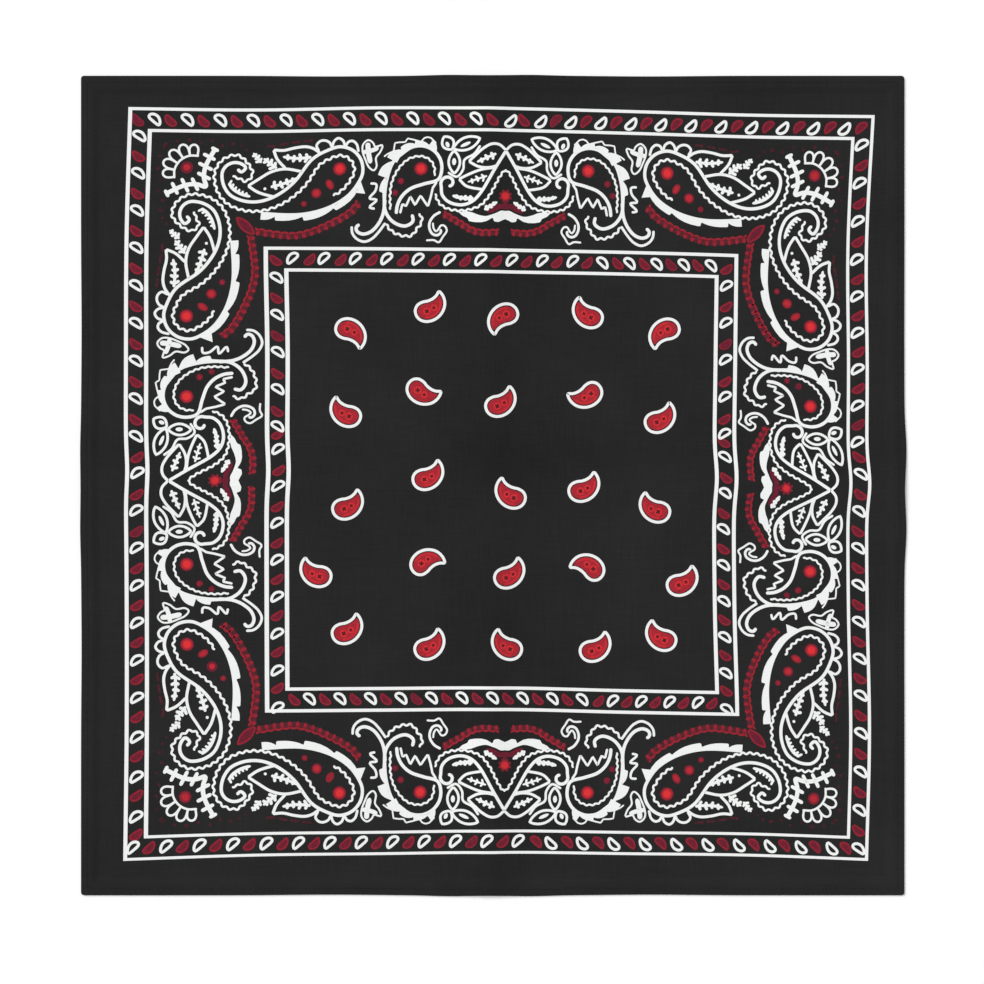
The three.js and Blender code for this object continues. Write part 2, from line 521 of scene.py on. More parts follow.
@dataclass
class Hem:
    """One edge turned under twice: a soft flat tube that carries on the roll of the face's edge.

    Its outer lower side is a quarter ellipse that meets the face's own roll at the outline. A tube ends
    `end_inset` short of the outline or `seam_gap` short of the hem that crosses it, and there thins
    towards its middle height over `end_reach`, as a quarter circle, down to the share `end_thickness`.
    """

    form: ClothForm
    side: Side
    step: float = 3.2
    end_inset: float = 0.12
    seam_gap: float = 0.3
    end_lines: tuple[float, ...] = (0.0, 0.3, 0.9, 1.9)
    end_reach: float = 1.2
    end_thickness: float = 0.35
    middle: float = 0.78
    profile: Points = (
        (0.02, 1.09), (0.06, 0.78), (0.17, 0.48), (0.36, 0.24), (0.66, 0.08), (1.1, 0.02),
        (3.2, 0.05), (5.4, 0.02), (5.95, 0.12), (6.25, 0.4), (6.35, 0.8), (6.25, 1.2),
        (5.9, 1.46), (5.3, 1.55), (4.2, 1.52), (3.0, 1.5), (1.9, 1.54), (1.1, 1.5), (0.72, 1.34),
        (0.6, 1.14),
    )

    def along_lines(self) -> np.ndarray:
        """Where the tube is cut across: the side hems run the whole way, the others stop short of them."""
        runs_whole = self.side in (Side.LEFT, Side.RIGHT)
        length = self.form.height if runs_whole else self.form.width
        start = self.end_inset if runs_whole else self.form.hem_width + self.seam_gap
        rim = start + np.array(self.end_lines)
        count = round((length - 2.0 * rim[-1]) / self.step)
        middle = np.linspace(rim[-1], length - rim[-1], count + 1)[1:-1]
        return np.concatenate([rim, middle, length - rim[::-1]])

    def build(self, material: bpy.types.Material) -> bpy.types.Object:
        """Carries the profile along the edge, closes both ends, and lets it stand for its solid."""
        along = self.along_lines()
        inward, up = np.array(self.profile).T
        runs, insides = np.meshgrid(along, inward, indexing="ij")
        form = self.form
        if self.side is Side.LEFT:
            s, t = insides, runs
        elif self.side is Side.RIGHT:
            s, t = form.width - insides, runs
        elif self.side is Side.BOTTOM:
            s, t = runs, insides
        else:
            s, t = runs, form.height - insides
        x, y, rise = form.plan(s, t)
        ends = np.minimum(along - along[0], along[-1] - along)
        slim = np.sqrt(1.0 - (1.0 - np.clip(ends / self.end_reach, 0.0, 1.0)) ** 2)[:, None]
        share = self.end_thickness + (1.0 - self.end_thickness) * slim
        z = rise + self.middle + (up[None, :] - self.middle) * share
        points = np.stack([x, y, z], axis=-1)
        quads = tube_quads(*points.shape[:2])
        if self.side in (Side.LEFT, Side.TOP):
            quads = quads[:, ::-1]
        piece = Piece(f"hem_turned_{self.side.value}")
        piece.add(points.reshape(-1, 3), quads)
        thing = piece.build(material)
        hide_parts(f"hem_{self.side.value}")
        return thing


@dataclass
class Stitching:
    """The rows of machine stitches that hold the hems, on the face and on the underside.

    A stitch is a few rings of points: where each stands as a share of its length, and its size as a
    share of its radius. On the underside it lies flatter.
    """

    face: ClothFace
    inset: float = 4.6
    pitch: float = 3.1
    length: float = 2.5
    radius: float = 0.17
    ring_places: tuple[float, ...] = (-0.5, -0.36, 0.36, 0.5)
    ring_sizes: tuple[float, ...] = (0.3, 1.0, 1.0, 0.3)
    ring_turns: tuple[float, ...] = (45.0, 135.0, 225.0, 315.0)
    face_lift: float = 0.03
    under_lift: float = 0.06
    under_share: float = 0.3

    def row(self, side: Side) -> tuple[np.ndarray, np.ndarray]:
        """The middles of one side's stitches, as distances from the left and from the bottom edge."""
        form = self.face.form
        upright = side in (Side.LEFT, Side.RIGHT)
        length = form.height if upright else form.width
        start = self.inset + 0.5 * self.pitch
        count = int((length - 2.0 * start) // self.pitch) + 1
        along = start + (length - 2.0 * start) * np.arange(count) / (count - 1)
        inset = np.full_like(along, self.inset)
        if side is Side.LEFT:
            return inset, along
        if side is Side.RIGHT:
            return form.width - inset, along
        if side is Side.BOTTOM:
            return along, inset
        return along, form.height - inset

    def build(self, material: bpy.types.Material) -> bpy.types.Object:
        """Lays a short closed thread at each place, sunk by half."""
        form = self.face.form
        rings, around = len(self.ring_places), len(self.ring_turns)
        along = np.array(self.ring_places) * self.length
        thick = np.array(self.ring_sizes) * self.radius
        turn = np.radians(self.ring_turns)
        faces = tube_quads(rings, around)
        piece = Piece("hem_stitches")
        for side in Side:
            upright = side in (Side.LEFT, Side.RIGHT)
            s, t = self.row(side)
            reach = along[None, :, None] + np.zeros((1, 1, around))
            aside = (thick[:, None] * np.cos(turn))[None]
            lift = (thick[:, None] * np.sin(turn))[None]
            ahead_s = s[:, None, None] + (aside if upright else reach)
            ahead_t = t[:, None, None] + (reach if upright else aside)
            x, y, rise = form.plan(ahead_s, ahead_t)
            for bottom in (False, True):
                level = rise + self.under_lift if bottom else self.face.height_at(x, y) + self.face_lift
                share = self.under_share if bottom else 1.0
                points = np.stack([x, y, level + lift * share], axis=-1)
                firsts = rings * around * np.arange(len(points))
                quads = (faces[None] + firsts[:, None, None]).reshape(-1, 4)
                piece.add(points.reshape(-1, 3), quads[:, ::-1] if upright else quads)
        thing = piece.build(material)
        return thing


# the print: lines

# How many straight steps a cubic is cut into before its points are spread evenly.
CUBIC_STEPS = 14


def points_at(at: np.ndarray | float, along: np.ndarray, line: np.ndarray) -> np.ndarray:
    """The points of a line at some places, where `along` says the place of each point it has."""
    return np.stack([np.interp(at, along, line[:, k]) for k in (0, 1)], axis=-1)


def pointing(turn: float) -> np.ndarray:
    """A step of length 1 at an angle in radians from +x."""
    return np.array([math.cos(turn), math.sin(turn)])


def even(line: np.ndarray, step: float, closed: bool = False) -> np.ndarray:
    """The same line with its points at even steps along it.

    Args:
        line: Points in order, n by 2.
        step: The distance wanted from point to point.
        closed: Whether the last point joins the first.

    Returns:
        The new points, with the first not repeated on a closed line.
    """
    path = np.concatenate([line, line[:1]]) if closed else line
    lengths = measured(path)
    count = max(round(lengths[-1] / step), 3 if closed else 1)
    at = np.linspace(0.0, lengths[-1], count + 1)
    spread = points_at(at, lengths, path)
    return spread[:-1] if closed else spread


def measured(line: np.ndarray) -> np.ndarray:
    """The distance along a line at each of its points."""
    steps = np.hypot(*np.diff(line, axis=0).T)
    return np.concatenate([[0.0], np.cumsum(steps)])


def through(
    anchors: list[tuple[float, float]] | np.ndarray, step: float = 0.9, closed: bool = False
) -> np.ndarray:
    """A smooth line through a few points: a cubic from each to the next.

    The slope at a point comes from its two neighbours, weighed by the square roots of the distances to
    them, so that the line doesn't swing wide where the points are unevenly spaced.

    Args:
        anchors: The points that the line runs through.
        step: The distance from point to point of the result.
        closed: Whether the line joins up with its start.

    Returns:
        Points at even steps along the line.
    """
    points = np.asarray(anchors, float)
    if closed:
        points = np.concatenate([points[-1:], points, points[:2]])
    else:
        points = np.concatenate([2 * points[:1] - points[1:2], points, 2 * points[-1:] - points[-2:-1]])
    gaps = np.sqrt(np.hypot(*np.diff(points, axis=0).T))[:, None]
    moves = np.diff(points, axis=0) / gaps
    chords = (points[2:] - points[:-2]) / (gaps[:-1] + gaps[1:])
    slopes = moves[:-1] + moves[1:] - chords
    start, end, span = points[1:-2, None], points[2:-1, None], gaps[1:-1, None]
    u = np.linspace(0.0, 1.0, CUBIC_STEPS, endpoint=False)[None, :, None]
    fine = (
        start * (2 * u**3 - 3 * u**2 + 1)
        + slopes[:-1, None] * span * (u**3 - 2 * u**2 + u)
        + end * (3 * u**2 - 2 * u**3)
        + slopes[1:, None] * span * (u**3 - u**2)
    ).reshape(-1, 2)
    if not closed:
        fine = np.concatenate([fine, points[-2:-1]])
    return even(fine, step, closed)


def beside(line: np.ndarray, distance: np.ndarray | float, closed: bool = False) -> np.ndarray:
    """A line moved to its own left: each point plus the distance times the normal there.

    Args:
        line: Points in order.
        distance: How far to the left, one number or one for each point.
        closed: Whether the last point joins the first.

    Returns:
        The moved points.
    """
    if closed:
        ahead = np.roll(line, -1, axis=0) - np.roll(line, 1, axis=0)
    else:
        ahead = np.gradient(line, axis=0)
    ahead = ahead / np.maximum(np.hypot(*ahead.T), 1e-9)[:, None]
    left = np.stack([-ahead[:, 1], ahead[:, 0]], axis=1)
    return line + left * np.broadcast_to(distance, len(line))[:, None]


def wavy(line: np.ndarray, height: float, length: float, closed: bool = False) -> np.ndarray:
    """A line that sways to both sides: a sine of that height and wavelength across it."""
    line = even(line, length / 8.0, closed)
    along = measured(line)
    return beside(line, height * np.sin(2.0 * np.pi * along / length), closed)


# the print: inked marks


class Ink(Enum):
    """The inks of the print. Each is one film, and a later one lies over an earlier one."""

    FAINT_RED = "faint_red"
    RED = "red"
    WHITE = "white"
    GROUND = "ground"


@dataclass(frozen=True)
class Mark:
    """One inked shape: a grid of points in the print, rows along it and columns across it."""

    ink: Ink
    points: np.ndarray
    loop: bool = False
    tone: float = 0.5
    layer: int = 0

    def placed(self, across: tuple[float, float], up: tuple[float, float]) -> "Mark":
        """The mark with its own x carried along `across` and its own y along `up`."""
        return replace(self, points=self.points @ np.array([across, up]))

    def turned(self, degrees: float, scale: float, x: float, y: float) -> "Mark":
        """The mark scaled, turned about the origin and then moved."""
        turn = math.radians(degrees)
        spin = np.array([[math.cos(turn), math.sin(turn)], [-math.sin(turn), math.cos(turn)]])
        return replace(self, points=self.points @ spin * scale + np.array([x, y]))

    def faced(self) -> np.ndarray:
        """Its points with the columns ordered so that the grid is anticlockwise seen from above."""
        p = self.points
        along, across = p[1:, :-1] - p[:-1, :-1], p[:-1, 1:] - p[:-1, :-1]
        turn = (across[..., 0] * along[..., 1] - across[..., 1] * along[..., 0]).sum()
        return p if turn > 0 else p[:, ::-1]


Artwork = list[Mark]

# The round end of a stroke: its points' places as shares of its length, how near to it the next point
# may be, and the least of one less the square that is left at its very tip.
CAP_PLACES = np.array([0.0, 0.1, 0.45, 1.0])
CAP_CLEARANCE = 0.2
TIP_LEAST = 0.012

# The widest cell of a filled area, and the size from which a disc has one more row of cells.
WIDEST_CELL = 2.5
LARGE_DISC = 4.0


def stroke(
    line: np.ndarray,
    width: float,
    ink: Ink = Ink.WHITE,
    closed: bool = False,
    taper: tuple[float, float] = (0.0, 0.0),
    tone: float = 0.5,
) -> Mark:
    """A drawn line of some width with round ends.

    Half the width stands to each side. Towards an end it falls as a quarter circle, over half the width
    or over the taper where that is longer.

    Args:
        line: Points in order along the middle of the stroke.
        width: The full width.
        ink: The ink.
        closed: Whether the last point joins the first.
        taper: How long the pointed start and end are.
        tone: The mark's shade within its ink.

    Returns:
        The mark, two columns wide.
    """
    if closed:
        sides = [beside(line, side * width / 2.0, True) for side in (-1.0, 1.0)]
        return Mark(ink, np.stack(sides, axis=1), True, tone)
    lengths = measured(line)
    whole = lengths[-1]
    first, last = (min(max(end, width / 2.0), 0.5 * whole) for end in taper)
    inner = lengths[(lengths > first + CAP_CLEARANCE) & (lengths < whole - last - CAP_CLEARANCE)]
    at = np.concatenate([first * CAP_PLACES, inner, whole - last * CAP_PLACES[::-1]])
    middle = points_at(at, lengths, line)
    share = np.minimum(np.clip(at / first, 0.0, 1.0), np.clip((whole - at) / last, 0.0, 1.0))
    half = width / 2.0 * np.sqrt(np.clip(1.0 - (1.0 - share) ** 2, TIP_LEAST, None))
    return Mark(ink, np.stack([beside(middle, -half), beside(middle, half)], axis=1), False, tone)


def filled(
    first: np.ndarray, second: np.ndarray, ink: Ink = Ink.WHITE, step: float = 1.1, tone: float = 0.5
) -> Mark:
    """The area between two lines that run side by side, in straight steps from one to the other.

    Args:
        first: One side's points.
        second: The other side's points, in the same direction.
        ink: The ink.
        step: The distance between points along the longer side.
        tone: The mark's shade within its ink.

    Returns:
        The mark, with as many columns as keep its cells narrow enough.
    """
    count = max(round(max(measured(first)[-1], measured(second)[-1]) / step), 2)
    sides = []
    for side in (first, second):
        lengths = measured(side)
        at = np.linspace(0.0, lengths[-1], count + 1)
        sides.append(points_at(at, lengths, side))
    widest = np.hypot(*(sides[0] - sides[1]).T).max()
    share = np.linspace(0.0, 1.0, max(2, 1 + math.ceil(widest / WIDEST_CELL)))[None, :, None]
    points = sides[0][:, None] * (1.0 - share) + sides[1][:, None] * share
    return Mark(ink, points, False, tone)


def inside(outline: np.ndarray, ink: Ink, step: float, tone: float) -> Mark:
    """The area within a closed outline, filled across from its first half to its second.

    Args:
        outline: Its points in order, from one tip.
        ink: The ink.
        step: The distance between points along the longer half.
        tone: The mark's shade within its ink.

    Returns:
        The mark.
    """
    half = len(outline) // 2
    back = np.concatenate([outline[:1], outline[::-1][:half]])
    return filled(outline[: half + 1], back, ink, step, tone)


def disc(
    x: float, y: float, across: float, ink: Ink, up: float = 0.0, turn: float = 0.0, tone: float = 0.5
) -> Mark:
    """A round or oval spot.

    A square of points from -1 to 1 is drawn in to a circle: each coordinate times the square root of
    one less half the square of the other.

    Args:
        x: Its middle.
        y: Its middle.
        across: Its full width.
        ink: The ink.
        up: Its full height, or 0 for the same as its width.
        turn: How far it is turned, in degrees.
        tone: The mark's shade within its ink.

    Returns:
        The mark.
    """
    side = np.linspace(-1.0, 1.0, 4 if across < LARGE_DISC else 5)
    u, v = np.meshgrid(side, side, indexing="ij")
    points = np.stack(
        [
            u * np.sqrt(1.0 - v * v / 2.0) * across / 2.0,
            v * np.sqrt(1.0 - u * u / 2.0) * (up or across) / 2.0,
        ],
        axis=-1,
    )
    return Mark(ink, points, False, tone).turned(turn, 1.0, x, y)


# the print: where each mark goes


@dataclass(frozen=True)
class Drift:
    """How the printed cloth has slipped from its true square, as it lies, in millimetres.

    Each row of a table belongs to a line of the true print: the edge of the print, the edge of the
    middle field, the middle, and the same again on the far side. Its columns are seven even places
    along that line. The slip is a cubic through the seven, and runs straight from row to row. A bell
    beside the level fold adds a little more sideways.
    """

    reach: float = 252.0
    lines: tuple[float, ...] = (-245.0, -153.0, 0.0, 153.0, 245.0)
    # lines from left to right, places from the bottom up
    sideways: tuple[tuple[float, ...], ...] = (
        (1.5, 2.5, 2.5, 2.0, 2.0, 2.5, 5.0),
        (7.5, 6.0, 5.5, 5.5, 6.0, 5.0, 9.0),
        (7.0, 8.0, 7.0, 6.0, 6.5, 8.0, 9.0),
        (5.5, 6.5, 4.5, 4.0, 5.0, 6.0, 6.0),
        (3.0, 5.0, 3.5, 3.0, 3.5, 3.0, 7.5),
    )
    # lines from the bottom up, places from left to right
    upward: tuple[tuple[float, ...], ...] = (
        (-1.5, 1.5, 2.5, 3.5, 2.5, 1.5, -1.5),
        (4.0, 3.5, 4.0, 4.5, 2.5, 1.0, 0.0),
        (3.0, 3.5, 3.0, 2.5, 1.0, -1.0, -4.5),
        (4.0, 3.5, 3.0, 2.0, 0.5, -2.0, -6.0),
        (3.5, 2.5, 4.0, 3.5, 1.5, -1.0, -2.0),
    )
    kick_left: float = 1.0
    kick_right: float = 2.0
    kick_spread: float = 17.0
    kick_place: float = 6.0

    def slip(
        self, table: tuple[tuple[float, ...], ...], across: np.ndarray, along: np.ndarray
    ) -> np.ndarray:
        """The slip that a table gives.

        Args:
            table: Its rows are lines, and its columns places along them.
            across: Places across the lines.
            along: Places along the lines.

        Returns:
            The slip at each place.
        """
        spot = np.clip((along / self.reach + 1.0) * 3.0, 0.0, 6.0 - 1e-6)
        first = np.floor(spot).astype(int)
        u = spot - first
        ends = np.pad(np.array(table), ((0, 0), (1, 1)), mode="reflect", reflect_type="odd")
        a, b, c, d = (ends[:, first + k] for k in range(4))
        rows = b + 0.5 * u * (c - a + u * (2 * a - 5 * b + 4 * c - d + u * (3 * (b - c) + d - a)))
        shares = np.stack([np.interp(across, self.lines, own) for own in np.eye(len(self.lines))])
        return (rows * shares).sum(axis=0)

    def applied(self, points: np.ndarray) -> np.ndarray:
        """The points where they lie on the cloth.

        Args:
            points: Places in the true print, with x and y last.

        Returns:
            Places on the laid cloth.
        """
        x, y = points[..., 0], points[..., 1]
        kick = self.kick_left + (self.kick_right - self.kick_left) * (x / self.reach + 1.0) / 2.0
        beside_fold = kick * np.exp(-(((y - self.kick_place) / self.kick_spread) ** 2))
        slip_x = self.slip(self.sideways, x, y) + beside_fold
        return np.stack([x + slip_x, y + self.slip(self.upward, y, x)], axis=-1)


# The four quarter turns of the square, and the mirror image of each: where own x and own y are carried.
QUARTERS = (
    ((1.0, 0.0), (0.0, 1.0)),
    ((0.0, -1.0), (1.0, 0.0)),
    ((-1.0, 0.0), (0.0, -1.0)),
    ((0.0, 1.0), (-1.0, 0.0)),
)
EIGHTHS = tuple(
    turn for across, up in QUARTERS for turn in ((across, up), ((-across[0], -across[1]), up))
)


def repeated(marks: Artwork, places: tuple) -> Artwork:
    """Copies of the marks at each place of a table such as QUARTERS or EIGHTHS."""
    return [mark.placed(across, up) for across, up in places for mark in marks]


# the print: the middle field


@dataclass(frozen=True)
class FieldDrop:
    """A comma-shaped drop of the middle field: a white outline, a red body and two small dark flowers.

    Its own +x runs from the round end to the hooked tip, and its origin is the middle of its area. A
    flower is its place and its size, with a petal at each of the headings, in radians.
    """

    outline: Points = (
        (12.3, 6.1), (12.1, 1.4), (10.3, -2.7), (7.2, -5.6), (2.6, -7.4), (-2.6, -7.3), (-7.2, -5.2),
        (-9.9, -1.8), (-10.4, 2.0), (-8.6, 5.8), (-5.2, 7.5), (-1.4, 7.0), (2.0, 5.3), (5.4, 4.4),
        (8.6, 4.5), (11.2, 5.5), (12.3, 6.2),
    )
    line_width: float = 1.95
    gap: float = 0.6
    inner_line: float = 2.9
    flowers: Triples = ((-2.9, 0.3, 3.0), (2.3, -0.8, 2.3))
    petal_headings: tuple[float, ...] = (0.4, 1.97, 3.54, 5.11)
    petal_away: float = 0.33
    petal_share: float = 0.42
    heart_share: float = 0.4

    def marks(self) -> Artwork:
        """The drop at the origin."""
        rim = through(self.outline, 0.85)
        body = beside(rim, -self.line_width / 2.0 - self.gap)
        trim = 4
        half = len(body) // 2 - 2
        lower, upper = body[trim:half], body[::-1][trim:half]
        art = [
            filled(lower, upper, Ink.RED, 1.3, 0.42),
            stroke(beside(rim, -self.inner_line)[2 * trim : half], 1.3, Ink.RED, tone=0.7),
            stroke(rim, self.line_width, taper=(1.6, 1.6)),
        ]
        for x, y, size in self.flowers:
            art.append(disc(x, y, size + 2.2, Ink.RED, tone=0.85))
            away = self.petal_away * size
            art += [
                disc(x + away * math.cos(turn), y + away * math.sin(turn), self.petal_share * size, Ink.GROUND)
                for turn in self.petal_headings
            ]
            art.append(disc(x, y, self.heart_share * size, Ink.GROUND))
        return art


@dataclass(frozen=True)
class MiddleField:
    """Five rows of five drops, each lying its own way.

    Each entry gives the place of a drop's middle on the laid cloth, the heading of its tip in degrees,
    and 1 or -1 for the side that the tip hooks to.
    """

    drop: FieldDrop = FieldDrop()
    places: tuple[tuple[float, float, float, int], ...] = (
        (-96.4, 104.6, 322.0, -1),
        (-42.5, 119.7, 39.0, 1),
        (6.4, 114.4, 221.0, 1),
        (63.8, 115.5, 139.0, -1),
        (115.8, 104.4, 218.0, 1),
        (-100.2, 48.4, 143.0, -1),
        (-48.6, 63.2, 337.0, 1),
        (5.2, 55.3, 39.0, 1),
        (63.7, 61.0, 200.0, -1),
        (113.3, 44.4, 38.0, 1),
        (-98.4, -14.4, 36.0, 1),
        (-44.0, 5.6, 36.0, 1),
        (11.5, -6.8, 140.0, -1),
        (61.6, -2.4, 35.0, 1),
        (109.3, -16.4, 143.0, -1),
        (-120.3, -60.3, 147.0, -1),
        (-46.0, -51.5, 21.0, -1),
        (11.2, -60.9, 40.0, 1),
        (65.3, -55.1, 156.0, 1),
        (128.3, -66.1, 36.0, 1),
        (-98.8, -98.7, 38.0, 1),
        (-42.9, -109.2, 41.0, 1),
        (9.0, -109.3, 140.0, -1),
        (69.3, -110.8, 36.0, 1),
        (113.6, -103.3, 141.0, -1),
    )

    def marks(self) -> Artwork:
        """All the drops, each mirrored or not, turned and moved to its place on the cloth."""
        single = self.drop.marks()
        return [
            mark.placed((1.0, 0.0), (0.0, float(hook))).turned(heading, 1.0, x, y)
            for x, y, heading, hook in self.places
            for mark in single
        ]


# the print: the two ruled bands


class Lean(Enum):
    """How a band's drop is mirrored: in x and in y, from one with its tip down to the right."""

    TIP_DOWN_RIGHT = (1.0, 1.0)
    TIP_DOWN_LEFT = (-1.0, 1.0)
    TIP_UP_RIGHT = (1.0, -1.0)
    TIP_UP_LEFT = (-1.0, -1.0)


@dataclass(frozen=True)
class Run:
    """Drops of one ink at even steps along one side of a band, from its first place on.

    `aside` is how far they stand off the band's middle, to the right or upwards.
    """

    side: Side
    ink: Ink
    lean: Lean
    first: float
    step: float
    count: int
    aside: float = 0.0


@dataclass(frozen=True)
class BandDrop:
    """A small drop of a band, round at the upper left and pointed at the lower right.

    The red one is turned end for end: a body with a paler line. On an upright side a drop lies flatter.
    """

    outline: Points = (
        (2.8, -3.9), (1.3, -3.0), (-0.9, -1.2), (-2.8, 0.5), (-3.6, 1.9), (-3.2, 3.0), (-1.6, 3.6),
        (0.2, 3.3), (2.0, 2.2), (3.2, 0.3), (3.7, -1.8), (3.4, -3.6),
    )
    line_width: float = 1.85
    flatter: float = 9.0

    def marks(self, ink: Ink, lean: Lean, upright: bool) -> Artwork:
        """The drop at the origin.

        Args:
            ink: White or red.
            lean: Which way a white drop leans here.
            upright: Whether it lies on an upright side.

        Returns:
            The marks.
        """
        rim = through(self.outline, 0.75, closed=True)
        if ink is Ink.WHITE:
            art = [stroke(rim, self.line_width, closed=True)]
        else:
            body = inside(rim, Ink.RED, 1.3, 0.03)
            art = [body, stroke(rim, 1.2, Ink.RED, closed=True, tone=0.22)]
            art = [mark.turned(180.0, 1.0, 0.0, 0.0) for mark in art]
        turn = self.flatter if upright else 0.0
        flip_x, flip_y = lean.value
        return [mark.turned(turn, 1.0, 0.0, 0.0).placed((flip_x, 0.0), (0.0, flip_y)) for mark in art]


@dataclass(frozen=True)
class RuledBand:
    """Two ruled lines round a rectangle, with slanting drops between them.

    The lines' distances from the print's middle, and their widths, are those of the left, right, bottom
    and top sides.
    """

    outer: tuple[float, float, float, float]
    inner: tuple[float, float, float, float]
    widths: tuple[float, float, float, float]
    runs: tuple[Run, ...]
    drop: BandDrop = BandDrop()
    drop_scale: float = 1.0

    def rule(self, distances: tuple[float, float, float, float]) -> Mark:
        """One ruled line round the rectangle, with its corners square."""
        outward = np.array([-1.0, 1.0, -1.0, 1.0])
        share = np.linspace(0.0, 1.0, round(distances[0] / 2.0), endpoint=False)[:, None]
        rims = []
        for half in (0.5, -0.5):
            left, right, bottom, top = outward * (np.array(distances) + half * np.array(self.widths))
            corners = np.array([(left, bottom), (right, bottom), (right, top), (left, top)])
            corners = np.concatenate([corners, corners[:1]])
            legs = [a * (1.0 - share) + b * share for a, b in zip(corners, corners[1:])]
            rims.append(np.concatenate(legs))
        return Mark(Ink.WHITE, np.stack(rims, axis=1), True)

    def place(self, run: Run, number: int) -> tuple[float, float]:
        """The middle of one drop of a run."""
        left, right, bottom, top = ((o + i) / 2.0 for o, i in zip(self.outer, self.inner))
        along = run.first + number * run.step
        return {
            Side.LEFT: (run.aside - left, along),
            Side.RIGHT: (run.aside + right, along),
            Side.BOTTOM: (along, run.aside - bottom),
            Side.TOP: (along, run.aside + top),
        }[run.side]

    def marks(self) -> Artwork:
        """The two ruled lines and every run of drops."""
        art = [self.rule(self.outer), self.rule(self.inner)]
        for run in self.runs:
            single = self.drop.marks(run.ink, run.lean, run.side in (Side.LEFT, Side.RIGHT))
            places = [self.place(run, number) for number in range(run.count)]
            art += [mark.turned(0.0, self.drop_scale, x, y) for x, y in places for mark in single]
        return art


def wide_band() -> RuledBand:
    """The ruled band at the edge of the print."""
    white, red = Ink.WHITE, Ink.RED
    down_right, down_left = Lean.TIP_DOWN_RIGHT, Lean.TIP_DOWN_LEFT
    return RuledBand(
        outer=(250.9, 250.0, 252.0, 252.0),
        inner=(237.5, 237.2, 237.6, 237.3),
        widths=(2.65, 2.12, 1.85, 2.05),
        runs=(
            Run(Side.TOP, white, down_right, -234.8, 21.43, 11, 0.3),
            Run(Side.TOP, white, Lean.TIP_UP_RIGHT, 3.0, 20.73, 12, -1.2),
            Run(Side.TOP, red, down_right, -245.5, 21.48, 13, -0.5),
            Run(Side.TOP, red, Lean.TIP_UP_RIGHT, 34.5, 20.82, 11, -0.3),
            Run(Side.BOTTOM, white, down_left, -245.7, 21.31, 13, 0.6),
            Run(Side.BOTTOM, white, Lean.TIP_UP_LEFT, 32.5, 21.51, 10, -0.9),
            Run(Side.BOTTOM, red, down_left, -235.7, 21.37, 12),
            Run(Side.BOTTOM, red, Lean.TIP_UP_LEFT, 22.0, 21.32, 11),
            Run(Side.LEFT, white, down_right, 233.4, -25.42, 9, -0.2),
            Run(Side.LEFT, white, down_left, 5.5, -25.56, 10, 0.3),
            Run(Side.LEFT, red, down_right, 219.6, -25.47, 8),
            Run(Side.LEFT, red, down_left, 16.0, -25.2, 11),
            Run(Side.RIGHT, white, down_left, 233.1, -24.91, 9),
            Run(Side.RIGHT, white, down_right, 11.9, -25.69, 11, 0.6),
            Run(Side.RIGHT, red, down_left, 219.9, -24.87, 8, 0.3),
            Run(Side.RIGHT, red, down_right, 23.6, -25.64, 11, 0.6),
        ),
    )


def narrow_band() -> RuledBand:
    """The ruled band round the middle field."""
    white, red = Ink.WHITE, Ink.RED
    down_right, down_left = Lean.TIP_DOWN_RIGHT, Lean.TIP_DOWN_LEFT
    return RuledBand(
        outer=(158.8, 159.1, 156.2, 157.4),
        inner=(145.3, 145.6, 141.5, 142.7),
        widths=(2.85, 2.6, 2.15, 2.15),
        runs=(
            Run(Side.TOP, white, down_left, -141.0, 20.88, 10, 0.7),
            Run(Side.TOP, white, down_right, 67.0, 18.63, 5),
            Run(Side.TOP, red, down_left, -129.9, 20.71, 10, -0.3),
            Run(Side.TOP, red, down_right, 77.9, 18.3, 4, -0.3),
            Run(Side.BOTTOM, white, down_right, -130.7, 20.4, 10, 0.6),
            Run(Side.BOTTOM, white, down_left, 74.2, 19.43, 4, 0.3),
            Run(Side.BOTTOM, red, down_right, -140.5, 20.4, 10),
            Run(Side.BOTTOM, red, down_left, 64.1, 19.4, 5, -0.3),
            Run(Side.LEFT, white, down_right, 137.4, -25.2, 5),
            Run(Side.LEFT, white, down_left, 21.2, -25.02, 8, 0.3),
            Run(Side.LEFT, red, down_right, 149.2, -25.6, 5),
            Run(Side.LEFT, red, down_left, 31.4, -24.61, 8),
            Run(Side.RIGHT, white, down_left, 136.6, -25.2, 5, 0.2),
            Run(Side.RIGHT, white, down_right, 20.0, -24.7, 8, -0.5),
            Run(Side.RIGHT, red, down_left, 147.9, -25.54, 5, -0.2),
            Run(Side.RIGHT, red, down_right, 30.0, -24.33, 8, -0.2),
        ),
        drop_scale=0.96,
    )


# the print: shapes that the border is drawn with


def coiled(x: float, y: float, first: float, last: float, heading: float, sweep: float) -> np.ndarray:
    """Part of a coil: the radius about a middle goes evenly from one size to another over the turn.

    Args:
        x: The middle.
        y: The middle.
        first: The radius at the start.
        last: The radius at the end.
        heading: Where it starts, in degrees from +x.
        sweep: How far it turns, in degrees, anticlockwise where positive.

    Returns:
        Points about 30 degrees apart.
    """
    share = np.linspace(0.0, 1.0, max(4, round(abs(sweep) / 30.0) + 1))
    turn = np.radians(heading + sweep * share)
    radius = first + (last - first) * share
    return np.stack([x + radius * np.cos(turn), y + radius * np.sin(turn)], axis=1)


def joined(*parts: object) -> np.ndarray:
    """One smooth line through several lists of points, end to end."""
    return through(np.concatenate([np.asarray(part, float) for part in parts]))


